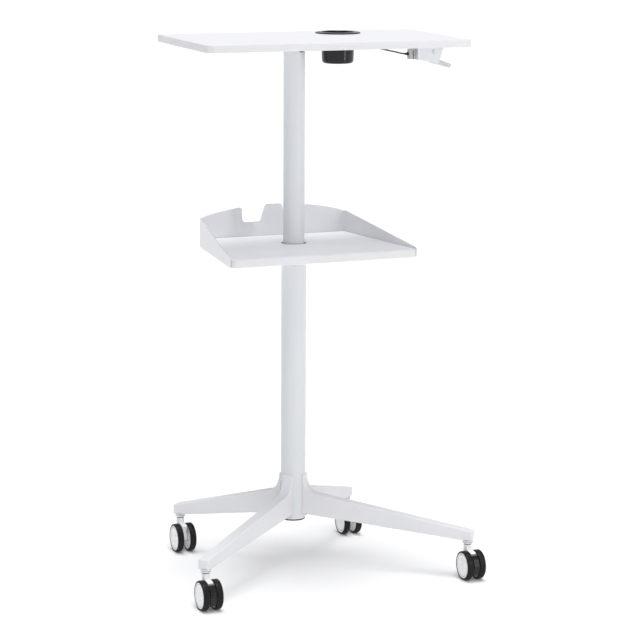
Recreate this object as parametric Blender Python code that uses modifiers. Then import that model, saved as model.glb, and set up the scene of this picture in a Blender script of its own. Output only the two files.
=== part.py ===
"""Mobile gas-lift lectern: worktop on a telescoping column, shelf with a gallery, base on casters.

Metres, +Z up, +X to the user's right, +Y away from the user.  The origin is on the floor under
the middle of the whole object.  Run it with blender --background --python part.py.
"""
from math import atan2, cos, hypot, pi, radians, sin, sqrt

import bmesh
import bpy
from mathutils import Vector

# ---------------------------------------------------------------- driving dimensions
MM = 0.001
GAP = 0.3 * MM                      # clearance between pieces that touch

TOP_HEIGHT = 1.200                  # worktop surface above the floor, column fully raised
TOP_TURN = radians(-2.0)            # the column's upper half stands turned by this much

WORKTOP_WIDTH = 0.600
WORKTOP_DEPTH = 0.360
WORKTOP_THICK = 0.016
WORKTOP_CENTRE = -0.116             # middle of the board, in front of the column
WORKTOP_CORNER = 0.020

CUP_X = 0.0943
CUP_Y = -0.0213
CUP_FLANGE_R = 0.050
CUP_BODY_R = 0.037
CUP_FOOT_R = 0.0352
CUP_WALL = 0.0025
CUP_DEPTH = 0.066                   # from the worktop surface to the cup's underside

UPPER_R = 0.024
UPPER_WALL = 0.0015
LOWER_R = 0.028
LOWER_WALL = 0.00155
LOWER_BOTTOM = 0.102
UPPER_BOTTOM = 0.640                # leaves room below it for 390 mm of travel
BUSH_BOTTOM = 0.690                 # lower end of the guide bush inside the lower tube
HEAD_BOTTOM = 1.138                 # lower end of the release head inside the upper tube

SHELF_BOTTOM = 0.716
SHELF_THICK = 0.018
SHELF_FRONT_HALF = 0.2215
SHELF_REAR_HALF = 0.179
SHELF_FRONT = -0.189                # from the column
SHELF_REAR = 0.127
SHELF_CORNER = 0.013
GALLERY_SHEET = 0.002
GALLERY_REAR_HEIGHT = 0.066
GALLERY_FRONT_HEIGHT = 0.021
GALLERY_ARCH = 0.024

ARM_ANGLE = radians(41.1)           # of every arm from the X axis
FRONT_ARM = 0.4126                  # column to caster stem
REAR_ARM = 0.2765
ARM_WIDTH = 0.025
ARM_EDGE = 0.0035                   # rounding of an arm's edges
ARM_ROOT_TOP = 0.162
ARM_ROOT_BOTTOM = 0.114
ARM_END_TOP = 0.107
ARM_END_BOTTOM = 0.086

WHEEL_R = 0.0325
DISC_R = 0.028
WHEEL_WIDTH = 0.015
WHEEL_SPACING = 0.030               # between the twin wheels' middles
TRAIL = 0.0187                      # stem to axle, towards the front
HOUSING_WIDTH = 13 * MM             # between the twin wheels
HOOD_END = 113                      # degrees round the axle, where the housing's hood ends
PEDAL_R = 31 * MM                   # outer side of the hood and of the brake pedal, from the axle
PEDAL_TOP = 128                     # degrees round the axle, the pedal's pivot
PEDAL_FOOT = 218

# ---------------------------------------------------------------- derived places
FRONT_REACH = FRONT_ARM * sin(ARM_ANGLE) + TRAIL + WHEEL_R
REAR_REACH = ((REAR_ARM + ARM_WIDTH / 2 - ARM_EDGE) * sin(ARM_ANGLE)
              + (ARM_WIDTH / 2 - ARM_EDGE) * cos(ARM_ANGLE) + ARM_EDGE)
COLUMN_Y = (FRONT_REACH - REAR_REACH) / 2       # centres the whole object on the origin
UNDERSIDE = TOP_HEIGHT - WORKTOP_THICK
LOWER_TOP = SHELF_BOTTOM + SHELF_THICK - 4 * MM
SHELF_TOP = SHELF_BOTTOM + SHELF_THICK
PLATE_THICK = 4 * MM
PLATE_BOTTOM = UNDERSIDE - GAP - PLATE_THICK
UPPER_TOP = PLATE_BOTTOM - GAP
PLUG_TOP = LOWER_BOTTOM + 20.3 * MM
CYLINDER_TOP = 0.748                # of the gas spring
CYLINDER_R = 14 * MM
CYLINDER_BORE = 12 * MM
ROD_TOP = 1.160
ROD_R = 5 * MM
PISTON_TOP = 0.708
LEVER_Y = -0.248                    # middle of the release lever
LEVER_PIVOT = (0.2215, LEVER_Y, UNDERSIDE - 10 * MM)
BRACKET_LEFT = 0.1838
BRACKET_RIGHT = 0.2435
BRACKET_DROP = 35 * MM
BRACKET_WIDTH = 34 * MM
BRACKET_SHEET = 2 * MM
LEVER_TIP = (42 * MM, -31.5 * MM)    # tip of the lever from its pivot, across and up
LEVER_TIP_R = 3.6 * MM
CABLE_R = 1.6 * MM
WINDOW_TURN = radians(23)           # the cable leaves the column this far right of the front
RING_TOP = ARM_END_BOTTOM - GAP
RING_BOTTOM = RING_TOP - 8 * MM
NECK_TOP = RING_BOTTOM - GAP
NECK_BOTTOM = WHEEL_R * 2 - 0.5 * MM
NECK_R = 9 * MM
STEM_R = 5 * MM

SEGMENTS = 40                       # sides of a turned piece
WHEEL_SEGMENTS = 32

# ---------------------------------------------------------------- scene and materials
for old in list(bpy.data.objects):
    bpy.data.objects.remove(old, do_unlink=True)

LECTERN = bpy.data.collections.new("lectern")
CUTTERS = bpy.data.collections.new("cutters")
for group in (LECTERN, CUTTERS):
    bpy.context.scene.collection.children.link(group)


def material(name, colour, roughness, metallic=0.0):
    mat = bpy.data.materials.new(name)
    mat.use_nodes = True
    shader = mat.node_tree.nodes["Principled BSDF"]
    shader.inputs["Base Color"].default_value = (*colour, 1)
    shader.inputs["Roughness"].default_value = roughness
    shader.inputs["Metallic"].default_value = metallic
    return mat


LAMINATE = material("white_laminate", (0.86, 0.86, 0.87), 0.45)
POWDER = material("white_powder_coat", (0.80, 0.80, 0.82), 0.40)
BLACK = material("black_plastic", (0.02, 0.02, 0.022), 0.40)
RUBBER = material("black_tyre", (0.025, 0.025, 0.027), 0.70)
WHITE = material("white_plastic", (0.78, 0.78, 0.79), 0.40)
GREY = material("grey_plastic", (0.30, 0.30, 0.31), 0.45)
STEEL = material("bright_steel", (0.70, 0.71, 0.72), 0.25, 1.0)
DARK_STEEL = material("dark_steel", (0.12, 0.12, 0.13), 0.35, 0.8)


def empty(name, location, turn=0.0, parent=None):
    pivot = bpy.data.objects.new(name, None)
    pivot.location = location
    pivot.rotation_euler = (0, 0, turn)
    pivot.parent = parent
    LECTERN.objects.link(pivot)
    return pivot


COLUMN = empty("column_axis", (0, COLUMN_Y, 0))
TOP = empty("top_axis", (0, 0, 0), TOP_TURN, COLUMN)


# ---------------------------------------------------------------- shape helpers
def finish(obj, parent, mat, smooth=False):
    """Put a new object in the lectern's collection under its parent, with its material."""
    for user in list(obj.users_collection):
        user.objects.unlink(obj)
    LECTERN.objects.link(obj)
    obj.parent = parent
    if mat:
        obj.data.materials.clear()
        obj.data.materials.append(mat)
    if smooth:
        for face in obj.data.polygons:
            face.use_smooth = True
    return obj


def new_mesh(name, build):
    """An object whose mesh is made by build(bm)."""
    mesh = bpy.data.meshes.new(name)
    bm = bmesh.new()
    build(bm)
    bmesh.ops.recalc_face_normals(bm, faces=bm.faces[:])
    bm.to_mesh(mesh)
    bm.free()
    return bpy.data.objects.new(name, mesh)


def bevel(obj, width, segments=3, angle=40):
    soften = obj.modifiers.new("soft_edges", "BEVEL")
    soften.width = width
    soften.segments = segments
    soften.limit_method = "ANGLE"
    soften.angle_limit = radians(angle)
    soften.harden_normals = False
    return obj


def block(name, size, centre, corner=0.0, parent=None, mat=None):
    """A box from its size and centre, with its upright edges rounded to the corner radius."""
    def build(bm):
        bmesh.ops.create_cube(bm, size=1)
        bmesh.ops.scale(bm, vec=size, verts=bm.verts)
        upright = [e for e in bm.edges if abs((e.verts[0].co - e.verts[1].co).z) > size[2] / 2]
        if corner:
            bmesh.ops.bevel(bm, geom=upright, offset=corner, segments=8, affect="EDGES", profile=0.5)

    obj = finish(new_mesh(name, build), parent, mat)
    obj.location = centre
    return obj


def rod(name, radius, start, end, parent=None, mat=None, segments=24):
    """A solid cylinder from start to end."""
    start, end = Vector(start), Vector(end)
    axis = end - start

    def build(bm):
        bmesh.ops.create_cone(bm, cap_ends=True, segments=segments, radius1=radius,
                              radius2=radius, depth=axis.length)

    obj = finish(new_mesh(name, build), parent, mat, smooth=True)
    obj.location = (start + end) / 2
    obj.rotation_mode = "QUATERNION"
    obj.rotation_quaternion = axis.to_track_quat("Z", "Y")
    return obj


def turned(name, profile, parent, mat, segments=SEGMENTS, location=(0, 0, 0)):
    """A closed turned body about Z: the profile's (radius, height) points run round its section."""
    on_axis = profile[0][0] == 0 and profile[-1][0] == 0
    mesh = bpy.data.meshes.new(name)
    points = [(r, 0, z) for r, z in profile]
    edges = [(i, i + 1) for i in range(len(points) - 1)]
    if not on_axis:
        edges.append((len(points) - 1, 0))
    mesh.from_pydata(points, edges, [])
    obj = finish(bpy.data.objects.new(name, mesh), parent, mat)
    obj.location = location
    screw = obj.modifiers.new("turn", "SCREW")
    screw.axis = "Z"
    screw.steps = segments
    screw.render_steps = segments
    screw.use_merge_vertices = True
    screw.merge_threshold = 0.00005
    screw.use_smooth_shade = True
    return obj


def ring(name, outer, inner, bottom, top, parent, mat, segments=SEGMENTS):
    """A plain tube, from its two radii and its two ends."""
    profile = [(outer, top), (outer, bottom), (inner, bottom), (inner, top)]
    return turned(name, profile, parent, mat, segments)


def arc(centre, radius, start, end, steps=6):
    """Points on an arc in a plane, angles in degrees."""
    turns = [radians(start + (end - start) * i / steps) for i in range(steps + 1)]
    return [(centre[0] + radius * cos(a), centre[1] + radius * sin(a)) for a in turns]


def outline(name, points, thickness, parent, mat):
    """A flat piece in the local XY plane, cut from a closed outline, centred on its thickness."""
    data = bpy.data.curves.new(name, "CURVE")
    data.dimensions = "2D"
    data.fill_mode = "BOTH"
    data.extrude = thickness / 2
    spline = data.splines.new("POLY")
    spline.points.add(len(points) - 1)
    for point, (x, y) in zip(spline.points, points):
        point.co = (x, y, 0, 1)
    spline.use_cyclic_u = True
    curve = bpy.data.objects.new(name + "_outline", data)
    bpy.context.scene.collection.objects.link(curve)
    bpy.context.view_layer.update()
    mesh = bpy.data.meshes.new_from_object(curve)
    bpy.data.objects.remove(curve, do_unlink=True)
    mesh.name = name
    bm = bmesh.new()
    bm.from_mesh(mesh)
    bmesh.ops.remove_doubles(bm, verts=bm.verts, dist=0.00002)
    bmesh.ops.dissolve_limit(bm, angle_limit=radians(0.5), verts=bm.verts, edges=bm.edges)
    bm.to_mesh(mesh)
    bm.free()
    return finish(bpy.data.objects.new(name, mesh), parent, mat)


def cut(obj, tool, mode="DIFFERENCE"):
    """Cut (or join) with a tool, which goes to the cutters' collection."""
    for user in list(tool.users_collection):
        user.objects.unlink(tool)
    CUTTERS.objects.link(tool)
    tool.hide_render = True
    tool.display_type = "WIRE"
    boolean = obj.modifiers.new(tool.name, "BOOLEAN")
    boolean.operation = mode
    boolean.solver = "EXACT"
    boolean.object = tool
    return obj


def drill(obj, radius, start, end, parent, segments=24):
    """Drill a round hole from start to end, both in the parent's axes."""
    tool = rod(obj.name + "_drill_%d" % len(obj.modifiers), radius, start, end, parent, None, segments)
    return cut(obj, tool)


# ---------------------------------------------------------------- worktop and what hangs on it
PLATE_SIZE = (0.104, 0.196, PLATE_THICK)
PLATE_CENTRE_Y = -0.048
SCREW_SPOTS = [(x, y) for y in (-0.132, 0.036) for x in (-0.038, 0.038)]
SCREW_R = 2.4 * MM
SCREW_HOLE_R = 2.8 * MM
SCREW_TIP = TOP_HEIGHT - 5.5 * MM


def make_worktop():
    board = block("worktop", (WORKTOP_WIDTH, WORKTOP_DEPTH, WORKTOP_THICK),
                  (0, WORKTOP_CENTRE, TOP_HEIGHT - WORKTOP_THICK / 2), WORKTOP_CORNER, TOP, LAMINATE)
    bevel(board, 2 * MM, 3, 60)
    drill(board, CUP_BODY_R + 0.5 * MM, (CUP_X, CUP_Y, UNDERSIDE - 0.01),
          (CUP_X, CUP_Y, TOP_HEIGHT + 0.01), TOP, 48)
    for x, y in SCREW_SPOTS:
        drill(board, SCREW_HOLE_R, (x, y, UNDERSIDE - 0.01), (x, y, SCREW_TIP + GAP), TOP, 12)


def make_cup_holder():
    top = TOP_HEIGHT + GAP
    foot = TOP_HEIGHT - CUP_DEPTH
    flange = 3 * MM
    profile = [(0, foot + 3 * MM)]
    profile += [(CUP_FOOT_R - CUP_WALL - 3 * MM, foot + 3 * MM), (CUP_FOOT_R - CUP_WALL, foot + 6 * MM)]
    profile += [(CUP_BODY_R - CUP_WALL, top + flange - 2 * MM), (CUP_BODY_R - 0.5 * MM, top + flange)]
    profile += [(CUP_FLANGE_R - 4 * MM, top + flange), (CUP_FLANGE_R, top + 1 * MM), (CUP_FLANGE_R, top)]
    profile += [(CUP_BODY_R, top), (CUP_FOOT_R, foot + 6 * MM)]
    profile += arc((CUP_FOOT_R - 6 * MM, foot + 6 * MM), 6 * MM, -15, -90, 4)
    profile += [(0, foot)]
    turned("cup_holder", profile, TOP, BLACK, SEGMENTS, (CUP_X, CUP_Y, 0))


def make_top_plate():
    plate = block("top_plate", PLATE_SIZE, (0, PLATE_CENTRE_Y, PLATE_BOTTOM + PLATE_THICK / 2),
                  12 * MM, TOP, POWDER)
    for x, y in SCREW_SPOTS:
        drill(plate, SCREW_HOLE_R, (x, y, PLATE_BOTTOM - 0.01), (x, y, UNDERSIDE + 0.005), TOP, 12)
    head = PLATE_BOTTOM - GAP
    profile = [(0, SCREW_TIP), (SCREW_R, SCREW_TIP - 2 * MM), (SCREW_R, head)]
    profile += [(4.5 * MM, head), (4.5 * MM, head - 1.2 * MM), (3 * MM, head - 2.6 * MM)]
    profile += [(0, head - 2.6 * MM)]
    for number, (x, y) in enumerate(SCREW_SPOTS, 1):
        turned("top_screw_%d" % number, profile, TOP, STEEL, 16, (x, y, 0))


def make_lever():
    """The release lever, its bracket and pin under the front right of the worktop."""
    web_top = UNDERSIDE - GAP
    foot = UNDERSIDE - BRACKET_DROP
    side = [(BRACKET_LEFT, web_top), (BRACKET_LEFT, foot + 8 * MM), (BRACKET_RIGHT - 12 * MM, foot)]
    side += [(BRACKET_RIGHT - 9 * MM, foot + 4 * MM), (BRACKET_RIGHT, web_top)]
    bracket = outline("lever_bracket", side, BRACKET_WIDTH, TOP, POWDER)
    bracket.rotation_euler = (pi / 2, 0, 0)
    bracket.location = (0, LEVER_Y, 0)
    hollow = block("lever_bracket_hollow", (0.10, BRACKET_WIDTH - 2 * BRACKET_SHEET, 0.06),
                   ((BRACKET_LEFT + BRACKET_RIGHT) / 2, LEVER_Y, web_top - BRACKET_SHEET - 0.03), 0, TOP)
    cut(bracket, hollow)
    drill(bracket, 2.8 * MM, (LEVER_PIVOT[0], LEVER_Y - 0.03, LEVER_PIVOT[2]),
          (LEVER_PIVOT[0], LEVER_Y + 0.03, LEVER_PIVOT[2]), TOP, 16)

    pin = [(0, 19 * MM), (2.5 * MM, 19 * MM), (2.5 * MM, -17.3 * MM), (4 * MM, -17.3 * MM)]
    pin += [(4 * MM, -19 * MM), (0, -19 * MM)]
    pivot = turned("lever_pin", pin, TOP, STEEL, 16)
    pivot.location = LEVER_PIVOT
    pivot.rotation_euler = (-pi / 2, 0, 0)

    x, z = LEVER_PIVOT[0], LEVER_PIVOT[2]
    tip_x, tip_z = x + LEVER_TIP[0], z + LEVER_TIP[1]
    side = arc((x, z), 6.5 * MM, 0, 180, 8)
    side += [(x - 6.5 * MM, z - 12 * MM)]
    side += arc((x + 2 * MM, z - 18 * MM), 8.5 * MM, 190, 255, 4)
    side += arc((tip_x - LEVER_TIP_R, tip_z), LEVER_TIP_R, -105, 75, 6)
    side += [(x + 14 * MM, z - 18.5 * MM), (x + 7.5 * MM, z - 15 * MM)]
    centred = [(px - x, pz - z) for px, pz in side]
    lever = outline("release_lever", centred, 20 * MM, TOP, POWDER)
    lever.location = LEVER_PIVOT
    lever.rotation_euler = (pi / 2, 0, 0)
    drill(lever, 2.8 * MM, (x, LEVER_Y - 0.02, z), (x, LEVER_Y + 0.02, z), TOP, 16)
    bevel(lever, 1 * MM, 2, 40)


CABLE_START_Z = UNDERSIDE - 18 * MM
STOP_LEFT = 0.1685
STOP_Z = UNDERSIDE - 14.5 * MM
CABLE_END = (STOP_LEFT + 7 * MM, LEVER_Y, STOP_Z)
BEFORE_CLIP = (0.0488, -0.0938, UNDERSIDE - 10.5 * MM)
CABLE_CLIP = (0.0941, -0.1714, UNDERSIDE - 4.2 * MM)
AFTER_CLIP = (0.1171, -0.2012, UNDERSIDE - 5.5 * MM)
TURNING_IN = [(0.1390, -0.2325, UNDERSIDE - 9.8 * MM), (0.1546, -0.2452, UNDERSIDE - 13.6 * MM)]


def cable_point(distance):
    """A point straight out of the column's window, this far from the column's axis."""
    return (distance * sin(WINDOW_TURN), -distance * cos(WINDOW_TURN), CABLE_START_Z)


def smooth_route(knots, spacing):
    """Points read every spacing from a Catmull-Rom curve through the knots."""
    ends = [knots[0] * 2 - knots[1]] + knots + [knots[-1] * 2 - knots[-2]]
    dense = []
    for a, b, c, d in zip(ends, ends[1:], ends[2:], ends[3:]):
        for step in range(40):
            t = step / 40
            dense.append(0.5 * (2 * b + (c - a) * t + (2 * a - 5 * b + 4 * c - d) * t * t
                                + (3 * b - a - 3 * c + d) * t ** 3))
    dense.append(knots[-1])
    points, travelled = [dense[0]], 0.0
    for before, after in zip(dense, dense[1:]):
        travelled += (after - before).length
        if travelled >= spacing:
            points.append(after)
            travelled = 0.0
    points[-1] = dense[-1]
    return points


def make_cable():
    """The Bowden cable from the column's head to its stop, and the clip that holds it up."""
    knots = [cable_point(9 * MM), cable_point(24 * MM), cable_point(40 * MM)]
    knots += [BEFORE_CLIP, CABLE_CLIP, AFTER_CLIP, *TURNING_IN]
    knots += [(STOP_LEFT - 4 * MM, LEVER_Y, STOP_Z), (STOP_LEFT, LEVER_Y, STOP_Z), CABLE_END]
    route = smooth_route([Vector(k) for k in knots], 7 * MM)
    data = bpy.data.curves.new("release_cable", "CURVE")
    data.dimensions = "3D"
    data.bevel_depth = CABLE_R
    data.bevel_resolution = 2
    data.use_fill_caps = True
    spline = data.splines.new("POLY")
    spline.points.add(len(route) - 1)
    for point, place in zip(spline.points, route):
        point.co = (*place, 1)
    finish(bpy.data.objects.new("release_cable", data), TOP, BLACK)

    stop = block("cable_stop", (15 * MM, 18 * MM, 22 * MM),
                 (STOP_LEFT + 7.5 * MM, LEVER_Y, STOP_Z), 3 * MM, TOP, GREY)
    bevel(stop, 1 * MM, 2, 60)
    drill(stop, CABLE_R + 0.6 * MM, (STOP_LEFT - 0.005, LEVER_Y, STOP_Z),
          (CABLE_END[0] + 1 * MM, LEVER_Y, STOP_Z), TOP, 16)

    along = (Vector(AFTER_CLIP) - Vector(BEFORE_CLIP)).normalized() * 0.02
    along.z = 0
    middle = Vector(CABLE_CLIP)
    clip = block("cable_clip", (10 * MM, 12 * MM, 8 * MM),
                 (CABLE_CLIP[0], CABLE_CLIP[1], UNDERSIDE - GAP - 4 * MM), 2 * MM, TOP, BLACK)
    clip.rotation_euler = (0, 0, atan2(along.y, along.x))
    drill(clip, CABLE_R + 0.9 * MM, middle - along, middle + along, TOP, 16)


# ---------------------------------------------------------------- telescoping column
def make_column():
    ring("lower_tube", LOWER_R, LOWER_R - LOWER_WALL, LOWER_BOTTOM, LOWER_TOP, COLUMN, POWDER)
    guide_outer = LOWER_R - LOWER_WALL - GAP
    flange_bottom = LOWER_TOP + GAP
    bush = [(LOWER_R - 0.1 * MM, flange_bottom + 3 * MM), (LOWER_R - 0.1 * MM, flange_bottom)]
    bush += [(guide_outer, flange_bottom), (guide_outer, BUSH_BOTTOM)]
    bush += [(UPPER_R + 0.35 * MM, BUSH_BOTTOM), (UPPER_R + 0.35 * MM, flange_bottom + 3 * MM)]
    turned("guide_bush", bush, COLUMN, BLACK)

    upper = ring("upper_tube", UPPER_R, UPPER_R - UPPER_WALL, UPPER_BOTTOM, UPPER_TOP, TOP, POWDER)
    window = block("upper_tube_window", (14 * MM, 30 * MM, 13 * MM), (0, 0, 0), 0, TOP)
    window.location = (20 * MM * sin(WINDOW_TURN), -20 * MM * cos(WINDOW_TURN), CABLE_START_Z)
    window.rotation_euler = (0, 0, WINDOW_TURN)
    cut(upper, window)
    ring("tube_glide", guide_outer, UPPER_R + GAP, UPPER_BOTTOM + 8 * MM, UPPER_BOTTOM + 48 * MM,
         TOP, BLACK)

    bore = ROD_R + 0.4 * MM
    head_r = UPPER_R - UPPER_WALL - GAP
    head = [(0, UPPER_TOP - 1 * MM), (head_r, UPPER_TOP - 1 * MM), (head_r, HEAD_BOTTOM)]
    head += [(bore, HEAD_BOTTOM)]
    head += [(bore, CABLE_START_Z + 6 * MM), (0, CABLE_START_Z + 6 * MM)]
    release = turned("release_head", head, TOP, DARK_STEEL)
    drill(release, CABLE_R + 0.9 * MM, (0, 0, CABLE_START_Z), cable_point(30 * MM), TOP, 16)


def make_gas_spring():
    seat = PLUG_TOP + GAP
    cylinder = [(0, seat + 8 * MM), (CYLINDER_BORE, seat + 8 * MM)]
    cylinder += [(CYLINDER_BORE, CYLINDER_TOP - 8 * MM), (ROD_R + GAP, CYLINDER_TOP - 8 * MM)]
    cylinder += [(ROD_R + GAP, CYLINDER_TOP), (CYLINDER_R - 2 * MM, CYLINDER_TOP)]
    cylinder += [(CYLINDER_R, CYLINDER_TOP - 2 * MM), (CYLINDER_R, seat), (0, seat)]
    turned("gas_spring_cylinder", cylinder, COLUMN, DARK_STEEL, 32)

    piston_r = CYLINDER_BORE - 0.4 * MM
    bore = [(0, ROD_TOP - 14 * MM), (2.4 * MM, ROD_TOP - 14 * MM), (2.4 * MM, ROD_TOP)]
    piston = bore + [(ROD_R, ROD_TOP), (ROD_R, PISTON_TOP), (piston_r, PISTON_TOP)]
    piston += [(piston_r, PISTON_TOP - 8 * MM), (0, PISTON_TOP - 8 * MM)]
    turned("gas_spring_rod", piston, COLUMN, STEEL, 32)

    cap = ROD_TOP + 3.2 * MM
    button = [(0, cap + 2 * MM), (3.2 * MM, cap + 2 * MM), (3.8 * MM, cap + 1.4 * MM), (3.8 * MM, cap)]
    button += [(2 * MM, cap), (2 * MM, ROD_TOP - 8 * MM), (0, ROD_TOP - 8 * MM)]
    turned("release_button", button, COLUMN, STEEL, 24)


# ---------------------------------------------------------------- shelf
def make_shelf():
    edge = GALLERY_SHEET + GAP
    front_half, rear_half = SHELF_FRONT_HALF - edge, SHELF_REAR_HALF - edge
    rear = SHELF_REAR - edge

    def build(bm):
        bmesh.ops.create_cube(bm, size=1)
        for vert in bm.verts:
            at_front = vert.co.y < 0
            half = front_half if at_front else rear_half
            vert.co.x = half if vert.co.x > 0 else -half
            vert.co.y = SHELF_FRONT if at_front else rear
            vert.co.z *= SHELF_THICK
        fronts = [e for e in bm.edges if all(v.co.y < 0 for v in e.verts)
                  and abs(e.verts[0].co.z - e.verts[1].co.z) > SHELF_THICK / 2]
        rears = [e for e in bm.edges if all(v.co.y > 0 for v in e.verts)
                 and abs(e.verts[0].co.z - e.verts[1].co.z) > SHELF_THICK / 2]
        bmesh.ops.bevel(bm, geom=fronts, offset=SHELF_CORNER, segments=8, affect="EDGES", profile=0.5)
        bmesh.ops.bevel(bm, geom=rears, offset=5 * MM, segments=3, affect="EDGES", profile=0.5)

    board = finish(new_mesh("shelf_board", build), COLUMN, LAMINATE)
    board.location = (0, 0, SHELF_BOTTOM + SHELF_THICK / 2)
    bevel(board, 3 * MM, 3, 60)
    drill(board, LOWER_R + GAP, (0, 0, SHELF_BOTTOM - 0.02), (0, 0, SHELF_TOP + 0.02), COLUMN, 48)

    plate = block("shelf_plate", (0.100, 0.100, 4 * MM), (0, 0, SHELF_BOTTOM - GAP - 2 * MM),
                  10 * MM, COLUMN, POWDER)
    drill(plate, LOWER_R + GAP, (0, 0, SHELF_BOTTOM - 0.02), (0, 0, SHELF_BOTTOM + 0.01), COLUMN, 48)


def gallery_blank():
    """The gallery's right half as a flat blank, (length along the sheet, height) points."""
    arch_r = (SHELF_REAR_HALF ** 2 + GALLERY_ARCH ** 2) / (2 * GALLERY_ARCH)

    def arch(x):
        return GALLERY_REAR_HEIGHT + GALLERY_ARCH - arch_r + sqrt(arch_r ** 2 - x ** 2)

    finger_top, finger_base, notch_out = 21 * MM, 31 * MM, 75 * MM
    notch_floor = GALLERY_REAR_HEIGHT - 15 * MM
    crest = arch(finger_top) - 6 * MM
    points = [(0, arch(0)), (10 * MM, arch(10 * MM))]
    points += arc((finger_top - 5.5 * MM, crest), 6 * MM, 75, 12, 4)
    points += arc((finger_base + 5 * MM, notch_floor + 5 * MM), 5 * MM, 192, 270, 4)
    points += arc((notch_out - 7 * MM, notch_floor + 7 * MM), 7 * MM, 270, 348, 4)
    shoulder = arch(notch_out + 8 * MM) - 7 * MM
    points += arc((notch_out + 8 * MM, shoulder), 7 * MM, 168, 85, 5)
    points += [(x * MM, arch(x * MM)) for x in (100, 120, 140, 160)]
    return points


def make_gallery():
    """The sheet-steel gallery: a flat blank folded round the back and the two sides."""
    bend_r = 8 * MM
    rise = SHELF_REAR - SHELF_FRONT - SHELF_CORNER + 4 * MM
    run = (SHELF_FRONT_HALF - SHELF_REAR_HALF) * rise / (SHELF_REAR - SHELF_FRONT)
    turn = atan2(rise, run)
    flat = SHELF_REAR_HALF - bend_r * sin(turn / 2) / cos(turn / 2)
    bend = bend_r * turn
    side = hypot(run, rise) - bend_r * sin(turn / 2) / cos(turn / 2)
    total = flat + bend + side

    def place(s):
        """Plan point of the sheet's outer face at this distance from the middle of the back."""
        mirror = -1 if s < 0 else 1
        s = abs(s)
        if s <= flat:
            return mirror * s, SHELF_REAR
        if s <= flat + bend:
            a = (s - flat) / bend_r
            return mirror * (flat + bend_r * sin(a)), SHELF_REAR - bend_r * (1 - cos(a))
        x = flat + bend_r * sin(turn) + (s - flat - bend) * cos(turn)
        y = SHELF_REAR - bend_r * (1 - cos(turn)) - (s - flat - bend) * sin(turn)
        return mirror * x, y

    half = gallery_blank()
    half += [(flat, GALLERY_REAR_HEIGHT), (flat + bend, GALLERY_REAR_HEIGHT)]
    half += [(total - 4 * MM, GALLERY_FRONT_HEIGHT), (total, GALLERY_FRONT_HEIGHT - 4 * MM), (total, 0)]
    blank = half + [(-s, h) for s, h in reversed(half[1:])]
    sheet = outline("shelf_gallery", blank, GALLERY_SHEET, COLUMN, POWDER)
    bm = bmesh.new()
    bm.from_mesh(sheet.data)
    back = [f for f in bm.faces if f.calc_center_median().z > -GALLERY_SHEET / 4]
    bmesh.ops.delete(bm, geom=back, context="FACES")
    folds = [flat + bend * i / 4 for i in range(5)]
    for s in [0.0] + folds + [-f for f in folds]:
        geometry = bm.verts[:] + bm.edges[:] + bm.faces[:]
        bmesh.ops.bisect_plane(bm, geom=geometry, dist=1e-6, plane_co=(s, 0, 0), plane_no=(1, 0, 0))
    for vert in bm.verts:
        x, y = place(vert.co.x)
        vert.co = (x, y, SHELF_BOTTOM + vert.co.y)
    bmesh.ops.recalc_face_normals(bm, faces=bm.faces[:])
    middle = Vector((0, 0, SHELF_BOTTOM))
    outward = sum((f.normal.dot(f.calc_center_median() - middle) * f.calc_area() for f in bm.faces))
    if outward < 0:
        bmesh.ops.reverse_faces(bm, faces=bm.faces[:])
    bm.to_mesh(sheet.data)
    bm.free()
    thicken = sheet.modifiers.new("sheet", "SOLIDIFY")
    thicken.thickness = GALLERY_SHEET
    thicken.offset = -1
    thicken.use_even_offset = True


# ---------------------------------------------------------------- base
def make_foot():
    """The plug that closes the column's foot and carries the gas spring, and its screw."""
    plug_r = LOWER_R - LOWER_WALL - GAP
    under = LOWER_BOTTOM - GAP
    plug = [(0, PLUG_TOP), (plug_r, PLUG_TOP), (plug_r, under), (LOWER_R - 0.5 * MM, under)]
    plug += [(LOWER_R - 0.5 * MM, under - 2 * MM), (LOWER_R - 2 * MM, under - 3 * MM), (0, under - 3 * MM)]
    foot = turned("column_foot_plug", plug, COLUMN, BLACK)
    height = LOWER_BOTTOM + 5.5 * MM
    drill(foot, 2.8 * MM, (15 * MM, 0, height), (0.05, 0, height), COLUMN, 16)
    tube = bpy.data.objects["lower_tube"]
    drill(tube, 2.8 * MM, (20 * MM, 0, height), (0.05, 0, height), COLUMN, 16)
    screw = [(0, LOWER_R + 6 * MM), (3 * MM, LOWER_R + 6 * MM), (4.5 * MM, LOWER_R + 4.5 * MM)]
    screw += [(4.5 * MM, LOWER_R + 0.5 * MM), (2.4 * MM, LOWER_R + 0.5 * MM), (2.4 * MM, 18 * MM)]
    screw += [(0, 18 * MM)]
    fastener = turned("foot_screw", screw, COLUMN, DARK_STEEL, 16, (0, 0, height))
    fastener.rotation_euler = (0, pi / 2, 0)


CORNERS = {
    "front_left": (pi + ARM_ANGLE, FRONT_ARM),
    "front_right": (-ARM_ANGLE, FRONT_ARM),
    "rear_left": (pi - ARM_ANGLE, REAR_ARM),
    "rear_right": (ARM_ANGLE, REAR_ARM),
}


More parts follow.
